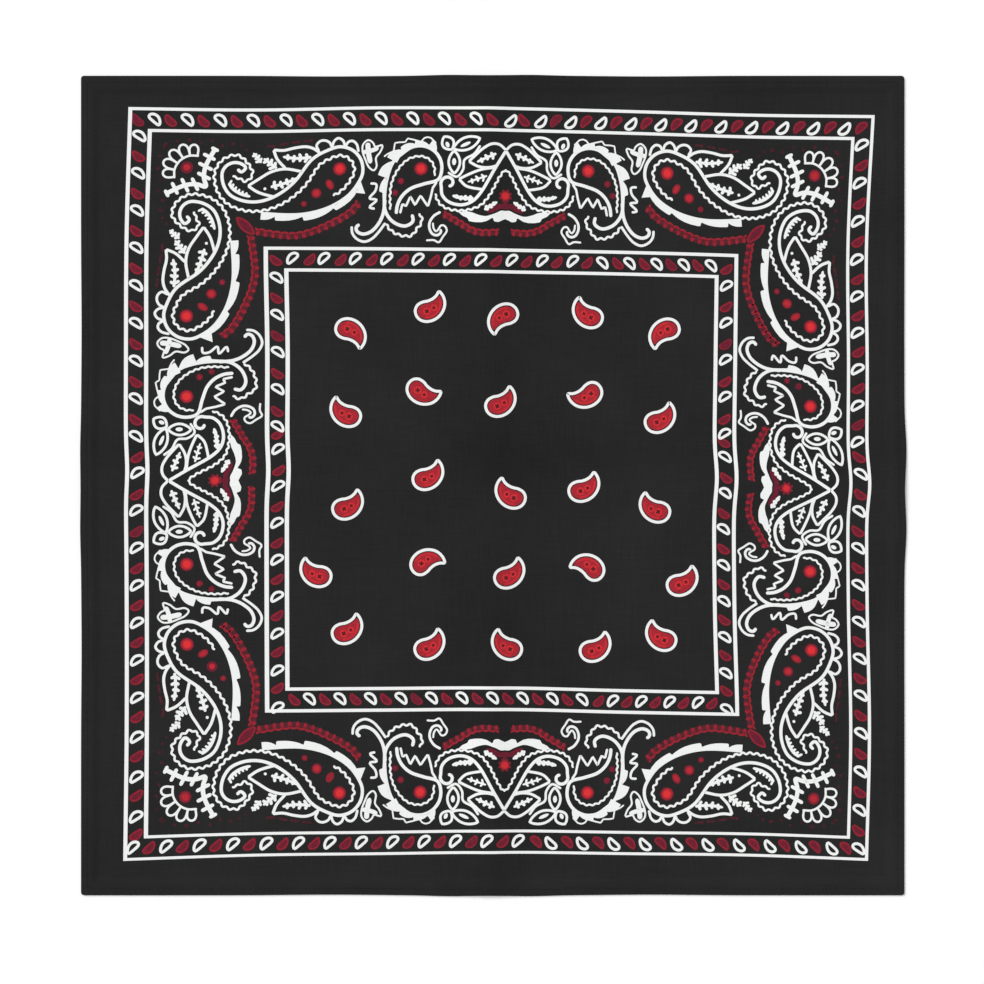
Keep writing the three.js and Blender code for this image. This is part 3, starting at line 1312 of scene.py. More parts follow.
def bud(start: tuple[float, float], end: tuple[float, float], width: float, full: float) -> np.ndarray:
    """A pointed closed outline round a straight axis: half the width times a sine to the power `full`."""
    share = np.linspace(0.0, 1.0, 13)[:, None]
    axis = np.array(start) * (1.0 - share) + np.array(end) * share
    side = 0.5 * width * np.sin(np.pi * share[:, 0]) ** full
    near, far = beside(axis, -side), beside(axis, side)
    return even(np.concatenate([near, far[-2:0:-1]]), 0.85, closed=True)


def stepped(
    line: np.ndarray, steps: Triples, side: float = -1.0
) -> np.ndarray:
    """An edge beside a line that steps out and falls back again, as if cut with a curved tool.

    Within a step the reach goes from the first to the last as a cosine of the place to the power 1.6.

    Args:
        line: The line that the edge runs beside.
        steps: For each step its length, its reach where it starts and its reach where it ends.
        side: 1 for the left of the line and -1 for the right.

    Returns:
        The edge's points.
    """
    share = np.array([0.0, 0.12, 0.3, 0.5, 0.7, 0.86, 0.98])
    lengths = np.array([step[0] for step in steps])
    starts = np.concatenate([[0.0], np.cumsum(lengths)[:-1]])
    along = measured(line)
    at = (starts[:, None] + lengths[:, None] * share).ravel() / lengths.sum() * along[-1]
    foot = points_at(at, along, line)
    fall = np.cos(np.pi / 2.0 * share**1.6)
    reach = np.concatenate([last + (first - last) * fall for _, first, last in steps])
    return beside(foot, side * reach)


def sprig(
    start: tuple[float, float],
    end: tuple[float, float],
    pairs: int,
    length: float,
    width: float = 1.6,
    lean: float = 62.0,
    bow: float = 0.0,
    ink: Ink = Ink.WHITE,
) -> Artwork:
    """A stem with pairs of barbs that lean forward and get shorter towards its tip.

    Args:
        start: The foot of the stem.
        end: Its tip.
        pairs: How many pairs of barbs.
        length: The length of the first barbs.
        width: The width of stem and barbs.
        lean: The angle between a barb and the stem, in degrees.
        bow: How far the stem bows to its left.
        ink: The ink.

    Returns:
        The marks.
    """
    share = np.linspace(0.0, 1.0, 9)
    axis = np.array(start) + (np.array(end) - np.array(start)) * share[:, None]
    stem = beside(axis, bow * np.sin(np.pi * share))
    heading = math.atan2(end[1] - start[1], end[0] - start[0])
    art = [stroke(stem, width, ink, taper=(1.0, 2.0))]
    for number in range(pairs):
        at = (number + 0.55) / (pairs + 0.5)
        foot = points_at(at, share, stem)
        for side in (-1.0, 1.0):
            turn = heading + side * math.radians(lean)
            size = length * (1.0 - 0.5 * at) * (1.0 + 0.12 * side * (-1.0) ** number)
            tip = foot + size * pointing(turn)
            art.append(stroke(even(np.array([foot, tip]), 1.1), 1.05 * width, ink, taper=(0.0, 0.9)))
    return art


def eye(x: float, y: float, across: float, tone: float) -> Artwork:
    """A red spot with a brighter middle and a soft darker rim."""
    return [
        disc(x, y, across * 1.2, Ink.RED, tone=0.1 * tone),
        disc(x, y, across * 0.98, Ink.RED, tone=0.5 * tone),
        disc(x, y, across * 0.66, Ink.RED, tone=tone),
    ]


# the print: the paisley border


@dataclass(frozen=True)
class CornerFlower:
    """Five arched petals round a red eye, with two feathers that meet at a point towards the middle.

    It is drawn in the upper left corner and mirrors over the diagonal.
    """

    x: float = -207.9
    y: float = 207.9
    arc_radius: float = 12.9
    petal_step: float = 21.8
    petal_reach: float = 7.2
    middle_reach: float = 2.0
    petal_half: float = 10.9
    feather: Points = (
        (-198.6, 198.6), (-200.9, 205.6), (-200.2, 213.0), (-194.4, 225.4),
    )
    barbs: Triples = (
        (-200.9, 206.6, 10.2), (-200.2, 213.2, 10.8), (-198.0, 219.8, 9.4), (-194.5, 225.0, 5.6),
    )
    barb_heading: float = -27.0
    line_width: float = 1.45

    def petals(self) -> Artwork:
        """The arc and the arches on it, each an ellipse in the distance and the heading."""
        arc = through(coiled(self.x, self.y, self.arc_radius, self.arc_radius, 76.0, 118.0))
        art = [stroke(arc, self.line_width)]
        turns = np.linspace(0.0, np.pi, 9)
        for number in range(-2, 3):
            reach = self.petal_reach + self.middle_reach * (1.0 - (number / 2.0) ** 2)
            radius = self.arc_radius + reach * np.sin(turns) ** 0.65
            heading = np.radians(135.0 + number * self.petal_step + self.petal_half * np.cos(turns))
            arch = np.stack([self.x + radius * np.cos(heading), self.y + radius * np.sin(heading)], axis=1)
            art.append(stroke(through(arch, 0.85), self.line_width))
        return art

    def feathers(self) -> Artwork:
        """One feather with its slanting barbs, and its mirror image over the diagonal."""
        art = [stroke(through(self.feather), 2.9, taper=(2.4, 1.0))]
        slant = pointing(math.radians(self.barb_heading))
        for x, y, length in self.barbs:
            ends = np.array([x, y]) + np.array([-0.5, 0.5])[:, None] * length * slant
            art.append(stroke(even(ends, 1.2), 2.4, taper=(1.4, 1.4)))
        return art + [mark.placed((0.0, -1.0), (-1.0, 0.0)) for mark in art]

    def marks(self) -> Artwork:
        """The whole corner."""
        return self.petals() + self.feathers() + eye(-212.4, 212.4, 6.8, 0.52)


@dataclass(frozen=True)
class GreatPaisley:
    """The long paisley beside each corner: a coiled tip, a stem and a round end with a curved belly.

    A wavy line runs beside its outline all the way, two leaves stand on the stem, and a stepped band
    with a horn hangs under the belly.
    """

    hook: Points = ((-179.2, 211.6), (-176.6, 209.5), (-174.0, 211.8))
    stem: Points = (
        (-187.4, 199.6), (-183.0, 193.6), (-174.6, 189.8), (-165.6, 189.1), (-157.2, 191.2), (-149.2, 195.6),
        (-141.2, 202.6), (-129.8, 218.0),
    )
    belly: Points = (
        (-105.0, 193.0), (-115.0, 186.3), (-125.0, 182.5), (-135.6, 180.5), (-146.0, 180.2), (-162.4, 181.2),
    )
    wave_start: Points = (
        (-182.2, 206.3), (-178.6, 205.4), (-173.0, 203.2), (-169.0, 208.6),
    )
    wave_away: Points = (
        (0.0, 5.0), (0.12, 4.9), (0.25, 6.2), (0.4, 7.0), (0.5, 7.4), (0.6, 6.0), (1.0, 5.5),
    )
    band: Triples = (
        (9.3, 4.3, 1.4), (17.8, 4.2, 1.5), (20.3, 4.5, 1.6), (20.6, 3.9, 2.0),
    )
    arches: tuple[Points, ...] = (
        (
            (-125.6, 223.2), (-127.5, 227.2), (-125.3, 230.0), (-121.9, 230.5), (-118.6, 228.8),
            (-117.2, 225.9),
        ),
        ((-116.9, 226.0), (-115.8, 229.9), (-113.1, 231.9), (-109.8, 230.2), (-108.4, 226.7)),
        ((-107.8, 226.5), (-106.2, 229.2), (-103.4, 229.9), (-100.6, 227.7), (-99.0, 222.4)),
    )
    line_width: float = 2.15

    def coil(self) -> np.ndarray:
        """The coiled tip."""
        return coiled(-180.7, 207.4, 8.7, 8.5, 40.0, 150.0)

    def crown(self) -> np.ndarray:
        """The round end."""
        return coiled(-111.4, 210.0, 16.2, 15.6, 122.0, -160.0)

    def outlines(self) -> Artwork:
        """The long line, the wavy line beside it, and the stepped band with its horn."""
        long = joined(self.hook, self.coil(), self.stem, self.crown(), self.belly)
        followed = joined(self.coil(), self.stem, self.crown(), self.belly[:2])
        away = np.interp(np.linspace(0.0, 1.0, len(followed)), *np.array(self.wave_away).T)
        wave = joined(self.wave_start, beside(followed, -away)[7::7])
        under = joined(self.crown()[-1:], self.belly)[::-1]
        horn = np.array([[(-97.2, 203.4), (-93.6, 194.3)], [(-98.8, 201.6), (-100.4, 195.0)]])
        return [
            stroke(long, self.line_width),
            stroke(wavy(wave, 0.6, 4.9), 1.5),
            filled(under, stepped(under, self.band), step=1.1),
            filled(horn[0], horn[1], step=1.2),
        ]

    def comb(self) -> Artwork:
        """A thick line inside the coil with short teeth on its inner side."""
        base = through([(-184.4, 202.0), (-181.8, 198.2), (-176.8, 194.8), (-169.8, 192.6)])
        lengths = measured(base)
        art = [stroke(base, 2.1, taper=(1.0, 2.4))]
        for share in (0.06, 0.21, 0.36, 0.51, 0.66, 0.81):
            foot = points_at(share * lengths[-1], lengths, base)
            tip = foot + (3.3 - 1.2 * share) * pointing(1.15)
            art.append(stroke(even(np.array([foot, tip]), 1.0), 1.7, taper=(0.0, 1.2)))
        return art

    def foliage(self) -> Artwork:
        """The two leaves with their veins, and the twig beside the coil."""
        leaves = (
            (
                (-156.2, 224.6), (-149.4, 224.2), (-142.0, 225.8), (-134.6, 226.5), (-129.6, 225.2),
                (-124.6, 221.8),
            ),
            ((-156.2, 224.6), (-153.4, 218.2), (-147.5, 211.8)),
            ((-171.7, 200.0), (-165.2, 204.4), (-156.8, 209.6), (-148.0, 211.5), (-136.4, 209.6)),
            ((-171.7, 200.0), (-164.8, 195.6), (-153.4, 192.2)),
        )
        art = [stroke(through(line), 1.9) for line in leaves]
        art += sprig((-130.6, 219.4), (-149.8, 219.9), 4, 3.9, 1.95, 60.0, 1.0)
        art += sprig((-156.8, 199.2), (-138.8, 205.4), 4, 3.6, 1.95, 70.0, -0.6)
        art.append(disc(-160.5, 198.0, 2.0, Ink.WHITE))
        art += sprig((-163.6, 215.8), (-169.4, 222.6), 3, 3.2, 1.75, 60.0)
        return art + sprig((-153.4, 212.0), (-162.4, 218.8), 3, 4.2, 1.95, 60.0)

    def marks(self) -> Artwork:
        """Everything of this paisley, its small arches and its red eyes."""
        art = self.outlines() + self.comb() + self.foliage()
        art += [stroke(through(arch, 0.9), 1.7) for arch in self.arches]
        art += eye(-111.2, 211.2, 7.6, 1.0) + eye(-126.2, 194.8, 5.8, 0.6) + eye(-134.2, 187.6, 3.4, 0.3)
        return art + [
            disc(-117.4, 200.6, 4.8, Ink.RED, 7.4, 32.0, 0.25),
            disc(-117.4, 200.6, 2.8, Ink.RED, 5.0, 32.0, 0.5),
        ]


@dataclass(frozen=True)
class SmallFlower:
    """The little flower between the two paisleys: a solid cross inside one outline of four petals."""

    outline: Points = (
        (-96.4, 223.0), (-96.2, 227.4), (-92.9, 230.3), (-89.5, 228.4), (-88.0, 225.9), (-83.2, 226.8),
        (-84.4, 222.4), (-87.2, 218.4), (-86.6, 212.6), (-88.4, 210.0), (-91.6, 212.0), (-94.2, 217.0),
    )
    upright: Points = ((-93.1, 228.6), (-92.4, 221.8), (-90.7, 214.6))
    across: Points = ((-96.2, 222.2), (-91.4, 223.0), (-85.6, 225.0))

    def marks(self) -> Artwork:
        """The outline and the two bars of the cross."""
        return [
            stroke(through(self.outline, 0.9, closed=True), 1.25, closed=True),
            stroke(through(self.upright), 3.4, taper=(1.6, 2.6)),
            stroke(through(self.across), 2.9, taper=(1.4, 2.2)),
        ]


@dataclass(frozen=True)
class LesserPaisley:
    """The upright paisley beside the middle, with steps on its back and crown and long hooked roots."""

    tail: Points = (
        (-62.0, 180.6), (-61.4, 176.0), (-66.4, 172.8), (-74.4, 175.4), (-79.8, 182.6), (-80.6, 193.0),
        (-79.2, 205.0), (-75.4, 215.8),
    )
    waist: Points = (
        (-54.6, 201.0), (-63.4, 197.8), (-68.8, 193.0), (-71.8, 187.0), (-72.6, 180.8),
    )
    wave: Points = (
        (-76.4, 183.6), (-77.0, 193.0), (-75.8, 202.8), (-71.4, 211.8), (-64.6, 218.0), (-56.0, 219.4),
        (-50.0, 216.2), (-47.6, 210.6), (-47.8, 206.4),
    )
    back: Points = ((-80.5, 186.0), (-80.5, 195.0), (-79.2, 205.0), (-75.4, 215.8))
    back_steps: Triples = ((9.4, 1.2, 1.6), (9.8, 3.9, 1.1), (11.2, 6.5, 1.1))
    crown_steps: Triples = (
        (9.5, 7.6, 1.8), (9.5, 3.9, 1.3), (9.5, 3.4, 1.4), (6.4, 5.2, 1.4),
    )
    frill: Points = (
        (-81.9, 219.1), (-79.3, 221.1), (-75.5, 222.8), (-74.8, 228.3), (-71.7, 228.8), (-67.9, 228.9),
        (-66.3, 231.4), (-62.2, 230.5), (-57.2, 229.2), (-55.2, 231.6), (-53.0, 232.4), (-50.5, 231.7),
        (-47.0, 228.2),
    )
    zigzag: Points = (
        (-46.0, 202.4), (-48.6, 198.4), (-49.8, 192.4), (-51.6, 186.0), (-56.6, 193.2), (-60.2, 186.8),
        (-63.4, 192.6), (-66.2, 186.0), (-68.6, 187.6), (-70.0, 181.2),
    )
    curl: Points = (
        (-90.4, 201.2), (-86.4, 200.6), (-86.8, 196.4), (-90.6, 191.2), (-85.8, 190.2), (-90.4, 185.2),
        (-86.8, 184.2),
    )
    roots: tuple[Points, ...] = (
        (
            (-80.2, 190.6), (-81.4, 180.4), (-84.6, 173.6), (-89.2, 168.8), (-94.4, 167.2), (-98.2, 168.8),
            (-99.0, 171.6), (-96.8, 173.8),
        ),
        (
            (-79.6, 174.8), (-84.2, 168.4), (-88.4, 164.1), (-93.4, 162.1), (-98.4, 163.9), (-101.4, 167.6),
            (-102.0, 172.4),
        ),
    )
    lower_wave: Points = (
        (-79.4, 173.8), (-74.6, 168.8), (-67.6, 166.2), (-62.0, 166.6), (-58.6, 171.0), (-55.4, 176.0),
        (-56.8, 181.4),
    )

    def marks(self) -> Artwork:
        """The outline, its steps and frill, the inner wave, the zigzags, the roots and the red eyes."""
        crown = coiled(-57.2, 211.1, 16.0, 14.0, 140.0, -170.0)
        back = through(self.back)
        top = through(coiled(-57.2, 211.1, 16.4, 15.0, 166.0, -118.0))
        art = [
            stroke(joined(self.tail, crown, self.waist), 2.2),
            filled(back, stepped(back, self.back_steps, 1.0), step=1.1),
            filled(top, stepped(top, self.crown_steps, 1.0), step=1.1),
            stroke(even(np.array(self.frill), 1.0), 1.05),
            stroke(wavy(through(self.wave), 0.36, 4.2), 1.35),
            stroke(even(np.array(self.zigzag), 1.2), 1.55),
            stroke(through(self.curl), 1.6),
            stroke(wavy(through(self.lower_wave), 0.6, 5.0), 1.5),
        ]
        art += [stroke(through(self.roots[0]), 2.2), stroke(through(self.roots[1]), 1.7)]
        return art + eye(-56.8, 211.2, 7.6, 1.0) + eye(-70.0, 202.8, 3.8, 0.22) + eye(-73.6, 195.0, 3.4, 0.12)


@dataclass(frozen=True)
class Trefoil:
    """Three pointed buds that meet above the middle spray's shoulder, with a seed in each."""

    buds: tuple[tuple[float, float, float, float, float], ...] = (
        (-36.4, 224.2, -41.8, 232.6, 8.0),
        (-35.4, 224.8, -17.6, 231.6, 8.2),
        (-34.8, 223.2, -34.4, 208.2, 7.6),
    )
    seeds: tuple[tuple[float, float, float, float, float], ...] = (
        (-39.4, 227.4, 2.6, 4.0, 24.0), (-27.2, 227.6, 7.4, 2.3, 24.0), (-34.7, 216.0, 2.8, 4.8, 0.0),
    )
    edge: Points = (
        (-17.2, 226.8), (-21.4, 221.2), (-27.8, 217.2), (-28.6, 210.8), (-32.6, 206.0), (-38.8, 208.8),
    )

    def marks(self) -> Artwork:
        """The buds, the seeds and the line round two of them."""
        art = [stroke(bud((a, b), (c, d), width, 0.75), 1.7, closed=True) for a, b, c, d, width in self.buds]
        art += [disc(x, y, across, Ink.WHITE, up, turn) for x, y, across, up, turn in self.seeds]
        return art + [stroke(through(self.edge), 1.6)]


@dataclass(frozen=True)
class MiddleSpray:
    """The left half of the spray in the middle of a side: a coil, two leaves, a wavy line and a smile."""

    stem: Points = (
        (-42.3, 194.0), (-38.8, 189.8), (-33.4, 187.6), (-27.6, 187.4), (-22.0, 189.7), (-16.8, 195.1),
        (-7.0, 212.0), (-0.1, 223.4),
    )
    wave: Points = (
        (-47.2, 194.4), (-43.8, 188.0), (-38.6, 184.7), (-30.2, 183.4), (-22.6, 184.5), (-16.6, 187.0),
        (-10.8, 193.5), (-3.4, 207.2), (0.0, 211.3),
    )
    leaves: tuple[Points, ...] = (
        ((0.0, 224.0), (-4.4, 227.6), (-9.4, 228.0), (-15.2, 225.0), (-20.4, 220.4), (-24.8, 216.2)),
        ((-24.8, 216.2), (-18.2, 212.8), (-11.4, 212.2), (-5.0, 213.8)),
        ((-31.2, 204.4), (-24.8, 207.6), (-16.4, 210.8), (-7.4, 212.2)),
        ((-31.2, 204.4), (-26.2, 199.8), (-15.0, 197.4)),
    )
    smile_top: Points = (
        (-30.9, 182.4), (-26.8, 183.0), (-22.3, 182.3), (-18.4, 180.8), (-12.9, 179.8), (-9.0, 180.9),
        (-5.4, 182.3), (-2.8, 183.6), (0.8, 183.3),
    )
    smile_foot: Points = (
        (-30.9, 182.2), (-28.7, 180.1), (-25.0, 178.5), (-24.2, 176.4), (-20.0, 175.7), (-15.6, 175.7),
        (-12.3, 176.5), (-9.5, 178.2), (-8.4, 179.0), (-7.3, 176.3), (-4.5, 175.9), (-2.4, 177.0),
        (0.8, 178.4),
    )
    hook: Points = (
        (-43.0, 182.5), (-47.6, 179.6), (-50.3, 175.0), (-50.1, 170.8), (-48.0, 167.5), (-44.8, 166.9),
        (-42.6, 168.9), (-43.0, 171.0),
    )
    inner_hook: Points = (
        (-48.1, 175.2), (-47.5, 171.4), (-45.8, 169.4), (-44.2, 171.0), (-42.6, 173.4), (-40.4, 173.2),
        (-38.7, 170.1), (-41.2, 165.9), (-44.0, 162.1), (-47.2, 163.5), (-52.4, 163.3),
    )

    def marks(self) -> Artwork:
        """The left half; its mirror image makes the right one."""
        coil = coiled(-38.2, 201.7, 1.9, 5.4, -90.0, 298.0)
        art = [
            stroke(joined(coil, self.stem), 2.1),
            stroke(wavy(through(self.wave), 0.5, 4.4), 1.4),
            filled(through(self.smile_top), np.array(self.smile_foot)),
            stroke(through(self.hook), 1.7),
            stroke(through(self.inner_hook), 1.3),
        ]
        art += [stroke(through(line), 1.8) for line in self.leaves]
        art += sprig((-6.4, 221.6), (-19.4, 215.8), 3, 3.2, 1.75, 60.0)
        art += sprig((-12.4, 206.6), (-25.4, 202.4), 3, 3.3, 1.35, 58.0)
        art += sprig((-21.4, 191.8), (-35.4, 193.4), 4, 2.4, 2.2, 64.0, 0.8)
        return art + sprig((-14.0, 184.0), (-5.4, 189.4), 3, 2.3, 2.1, 58.0)


@dataclass(frozen=True)
class MiddleBloom:
    """The red star between the halves of the middle spray, on a stem over dark red hills."""

    x: float = 0.0
    y: float = 193.4
    rays: int = 8

    def marks(self) -> Artwork:
        """The hills, the stem, the star's rays and its eye."""
        hill = ((3.4, 186.6), (7.6, 184.4), (12.4, 182.6))
        hills = through([(-x, y) for x, y in hill[::-1]] + [(0.0, 186.0)] + list(hill))
        art = [
            stroke(hills, 3.2, Ink.RED, taper=(4.0, 4.0), tone=0.0),
            stroke(even(np.array([(0.0, 185.0), (0.0, 192.0)]), 1.2), 2.4, Ink.RED, tone=0.02),
        ]
        for number in range(self.rays):
            way = pointing(2.0 * math.pi * (number + 0.5) / self.rays)
            ray = np.array([self.x, self.y]) + np.array([1.2, 2.8, 4.6])[:, None] * way
            art.append(stroke(ray, 2.0, Ink.RED, taper=(0.0, 1.4), tone=0.12))
        return art + [
            disc(self.x, self.y, 6.0, Ink.RED, tone=0.45),
            disc(self.x, self.y, 4.2, Ink.RED, tone=0.8),
        ]


@dataclass(frozen=True)
class Garland:
    """The red festoon under the paisleys: loops in a row from a leaf at the corner."""

    long_row: Points = (
        (-166.6, 169.0), (-151.9, 166.7), (-140.0, 165.9), (-129.5, 168.2), (-116.4, 173.8), (-108.1, 178.3),
        (-101.6, 182.9), (-97.2, 188.7),
    )
    short_row: Points = (
        (-41.7, 181.5), (-35.0, 177.6), (-29.1, 174.4), (-24.1, 171.2), (-17.4, 168.9), (-10.0, 168.8),
        (-3.7, 169.4),
    )
    loop_step: float = 5.0
    loop_points: int = 10
    loop_along: float = 1.7
    loop_aside: float = 2.2

    def festoon(self, places: Points, size: float) -> Artwork:
        """Open loops one after another along a row, over a soft dark line.

        A loop is an oval whose middle moves along while it turns, so the line doubles back on itself.
        """
        row = through(places, 1.2)
        lengths = measured(row)
        loops = round(lengths[-1] / (self.loop_step * size))
        at = np.linspace(0.0, lengths[-1], loops * self.loop_points + 1)
        turn = 2.0 * np.pi * loops * at / lengths[-1]
        moved = np.clip(at + self.loop_along * size * np.sin(turn), 0.0, lengths[-1])
        base = points_at(at, lengths, row)
        aside = beside(base, self.loop_aside * size * np.cos(turn)) - base
        loop = points_at(moved, lengths, row) + aside
        return [
            stroke(row, 4.6 * size, Ink.FAINT_RED, taper=(3.0, 3.0), tone=0.55),
            stroke(loop, 1.25, Ink.RED, tone=0.31),
        ]

    def marks(self) -> Artwork:
        """The leaf, the long row and the short row of this eighth."""
        leaf = bud((-178.2, 178.2), (-166.8, 166.8), 5.8, 0.8)
        body = inside(leaf, Ink.RED, 1.4, 0.0)
        art = [body, stroke(leaf, 1.2, Ink.RED, closed=True, tone=0.24)]
        return art + self.festoon(self.long_row, 1.0) + self.festoon(self.short_row, 0.9)


@dataclass(frozen=True)
class FaintSprigs:
    """Faint red dots and lines near the corner and over the first leaf."""

    dots: Triples = (
        (-226.6, 228.0, 2.6), (-219.6, 230.4, 2.2), (-211.6, 231.2, 2.6), (-204.0, 229.4, 2.0),
        (-196.6, 230.8, 1.8), (-189.8, 227.6, 2.2), (-183.0, 228.8, 2.8), (-177.6, 227.4, 2.0),
        (-173.6, 224.6, 1.8),
    )
    line: Points = (
        (-160.6, 227.4), (-155.2, 227.0), (-149.6, 228.4), (-139.6, 229.8), (-128.6, 231.0),
    )

    def marks(self) -> Artwork:
        """The dots and the broken line."""
        art = [disc(x, y, across, Ink.FAINT_RED, tone=0.2) for x, y, across in self.dots]
        line = through(self.line, 0.9)
        starts = range(0, len(line) - 8, 9)
        return art + [stroke(line[k : k + 8], 1.5, Ink.FAINT_RED, tone=0.3) for k in starts]


@dataclass(frozen=True)
class PaisleyBorder:
    """The border between the bands, drawn once for half a side and repeated round the square."""

    def marks(self) -> Artwork:
        """Every mark of the border, in the true print."""
        eighth = (
            GreatPaisley().marks()
            + SmallFlower().marks()
            + LesserPaisley().marks()
            + Trefoil().marks()
            + MiddleSpray().marks()
            + Garland().marks()
            + FaintSprigs().marks()
        )
        quarter = CornerFlower().marks() + MiddleBloom().marks()
        return repeated(eighth, EIGHTHS) + repeated(quarter, QUARTERS)


@dataclass
class ClothPrint:
    """The print as thin closed films of ink on the face, one object for each group of marks."""

    face: ClothFace
    drift: Drift = field(default_factory=Drift)
    depth: float = 0.05
    crease: float = 40.0
    # how far each ink stands over the face, and what a mark's tone and its layer add to that
    lifts: dict[Ink, float] = field(
        default_factory=lambda: {Ink.FAINT_RED: 0.015, Ink.RED: 0.05, Ink.WHITE: 0.085, Ink.GROUND: 0.11}
    )
    tone_lift: float = 0.025
    overlap_lift: float = 0.0006
    layers: int = 13

    def lay(self, name: str, marks: Artwork, drifted: bool) -> Piece:
        """Lays marks on the face's own triangles.

        Marks that cross stand on different layers, less than a thousandth of a millimetre apart.

        Args:
            name: The name of the object.
            marks: The marks, in the true print.
            drifted: Whether the print's drift moves them.

        Returns:
            The closed films.
        """
        grids = [mark.faced() for mark in marks]
        flat = np.concatenate([grid.reshape(-1, 2) for grid in grids])
        if drifted:
            flat = self.drift.applied(flat)
        level = self.face.height_at(flat[:, 0], flat[:, 1])
        ends = np.cumsum([grid.shape[0] * grid.shape[1] for grid in grids])[:-1]
        piece = Piece(name)
        for mark, grid, at, height in zip(marks, grids, np.split(flat, ends), np.split(level, ends)):
            rise = self.lifts[mark.ink] + self.tone_lift * mark.tone + self.overlap_lift * mark.layer
            top = height + rise
            shape = (*grid.shape[:2], 3)
            upper = np.column_stack([at, top]).reshape(shape)
            lower = np.column_stack([at, height - self.depth]).reshape(shape)
            piece.add(*closed_layers(upper, lower, mark.loop), tone=mark.tone)
        return piece

    def layered(self, marks: Artwork) -> Artwork:
        """The same marks, each on the layer after its neighbour's, round and round."""
        return [replace(mark, layer=number % self.layers) for number, mark in enumerate(marks)]

    def groups(self) -> list[tuple[str, Artwork, bool]]:
        """Names the objects of the print and sorts the marks into them.

        Returns:
            Each object's name, its marks, and whether the print's drift moves them.
        """
        frame = self.layered(wide_band().marks() + narrow_band().marks())
        field_marks = self.layered(MiddleField().marks())
        border = self.layered(PaisleyBorder().marks())
        found = [
            (f"print_{place}_{ink.value}", [mark for mark in marks if mark.ink is ink], drifted)
            for place, marks, drifted in (("frame", frame, True), ("field", field_marks, False))
            for ink in Ink
        ]
        found += [
            (f"print_border_{ink.value}", [mark for mark in border if mark.ink is ink], True)
            for ink in (Ink.FAINT_RED, Ink.RED)
        ]
        white = [mark for mark in border if mark.ink is Ink.WHITE]
        sides = [nearest_side(*mark.points.mean(axis=(0, 1))) for mark in white]
        found += [
            (
                f"print_border_white_{side.value}",
                [mark for mark, at in zip(white, sides) if at is side],
                True,
            )
            for side in Side
        ]
        return [group for group in found if group[1]]

    def build(self, finishes: dict[Ink, bpy.types.Material]) -> list[bpy.types.Object]:
        """Builds every object of the print, dressed in its ink."""
        things = []
        for name, marks, drifted in self.groups():
            ink = marks[0].ink
            thing = self.lay(name, marks, drifted).build(finishes[ink], self.crease)
            things.append(thing)
        return things


def nearest_side(x: float, y: float) -> Side:
    """The side of the square that a place is nearest to."""
    if abs(x) > abs(y):
        return Side.RIGHT if x > 0.0 else Side.LEFT
    return Side.TOP if y > 0.0 else Side.BOTTOM


# finishes


@dataclass
class NodeBench:
    """A material's nodes, with short ways to add arithmetic to them."""

    material: bpy.types.Material

    def __post_init__(self) -> None:
        """Clears the node tree and adds its output."""
        self.material.use_nodes = True
        self.tree = self.material.node_tree
        self.tree.nodes.clear()
        self.output = self.tree.nodes.new("ShaderNodeOutputMaterial")

    def add(self, kind: str, **settings: object) -> bpy.types.Node:
        """Adds a node of a kind and sets its properties."""
        node = self.tree.nodes.new(kind)
        for name, value in settings.items():
            setattr(node, name, value)
        return node

    def join(self, source: Socket, target: Socket) -> None:
        """Links an output to an input."""
        self.tree.links.new(source, target)

    def math(self, operation: str, *values: object) -> Socket:
        """One step of arithmetic on sockets and numbers.

        Args:
            operation: The Math node's operation.
            values: The inputs in order, each a socket or a number.

        Returns:
            The result's socket.
        """
        node = self.add("ShaderNodeMath", operation=operation)
        for socket, value in zip(node.inputs, values):
            if isinstance(value, Socket):
                self.join(value, socket)
            else:
                socket.default_value = value
        return node.outputs[0]

    def swing(self, share: Socket, times: float) -> Socket:
        """How far a share from 0 to 1 is from a half, times a number."""
        return self.math("MULTIPLY", self.math("SUBTRACT", share, 0.5), times)

    def noise(self, place: Socket, scale: float, detail: float) -> Socket:
        """Cloudy noise from 0 to 1 at a number of cells to the metre."""
        node = self.add("ShaderNodeTexNoise")
        node.inputs["Scale"].default_value = scale
        node.inputs["Detail"].default_value = detail
        self.join(place, node.inputs["Vector"])
        return node.outputs["Fac"]

    def blend(
        self, share: Socket, first: tuple[float, ...], second: tuple[float, ...]
    ) -> Socket:
        """A colour that goes from the first to the second as the share goes from 0 to 1."""
        node = self.add("ShaderNodeMix", data_type="RGBA")
        self.join(share, node.inputs[0])
        node.inputs[6].default_value = (*first, 1.0)
        node.inputs[7].default_value = (*second, 1.0)
        return node.outputs[2]


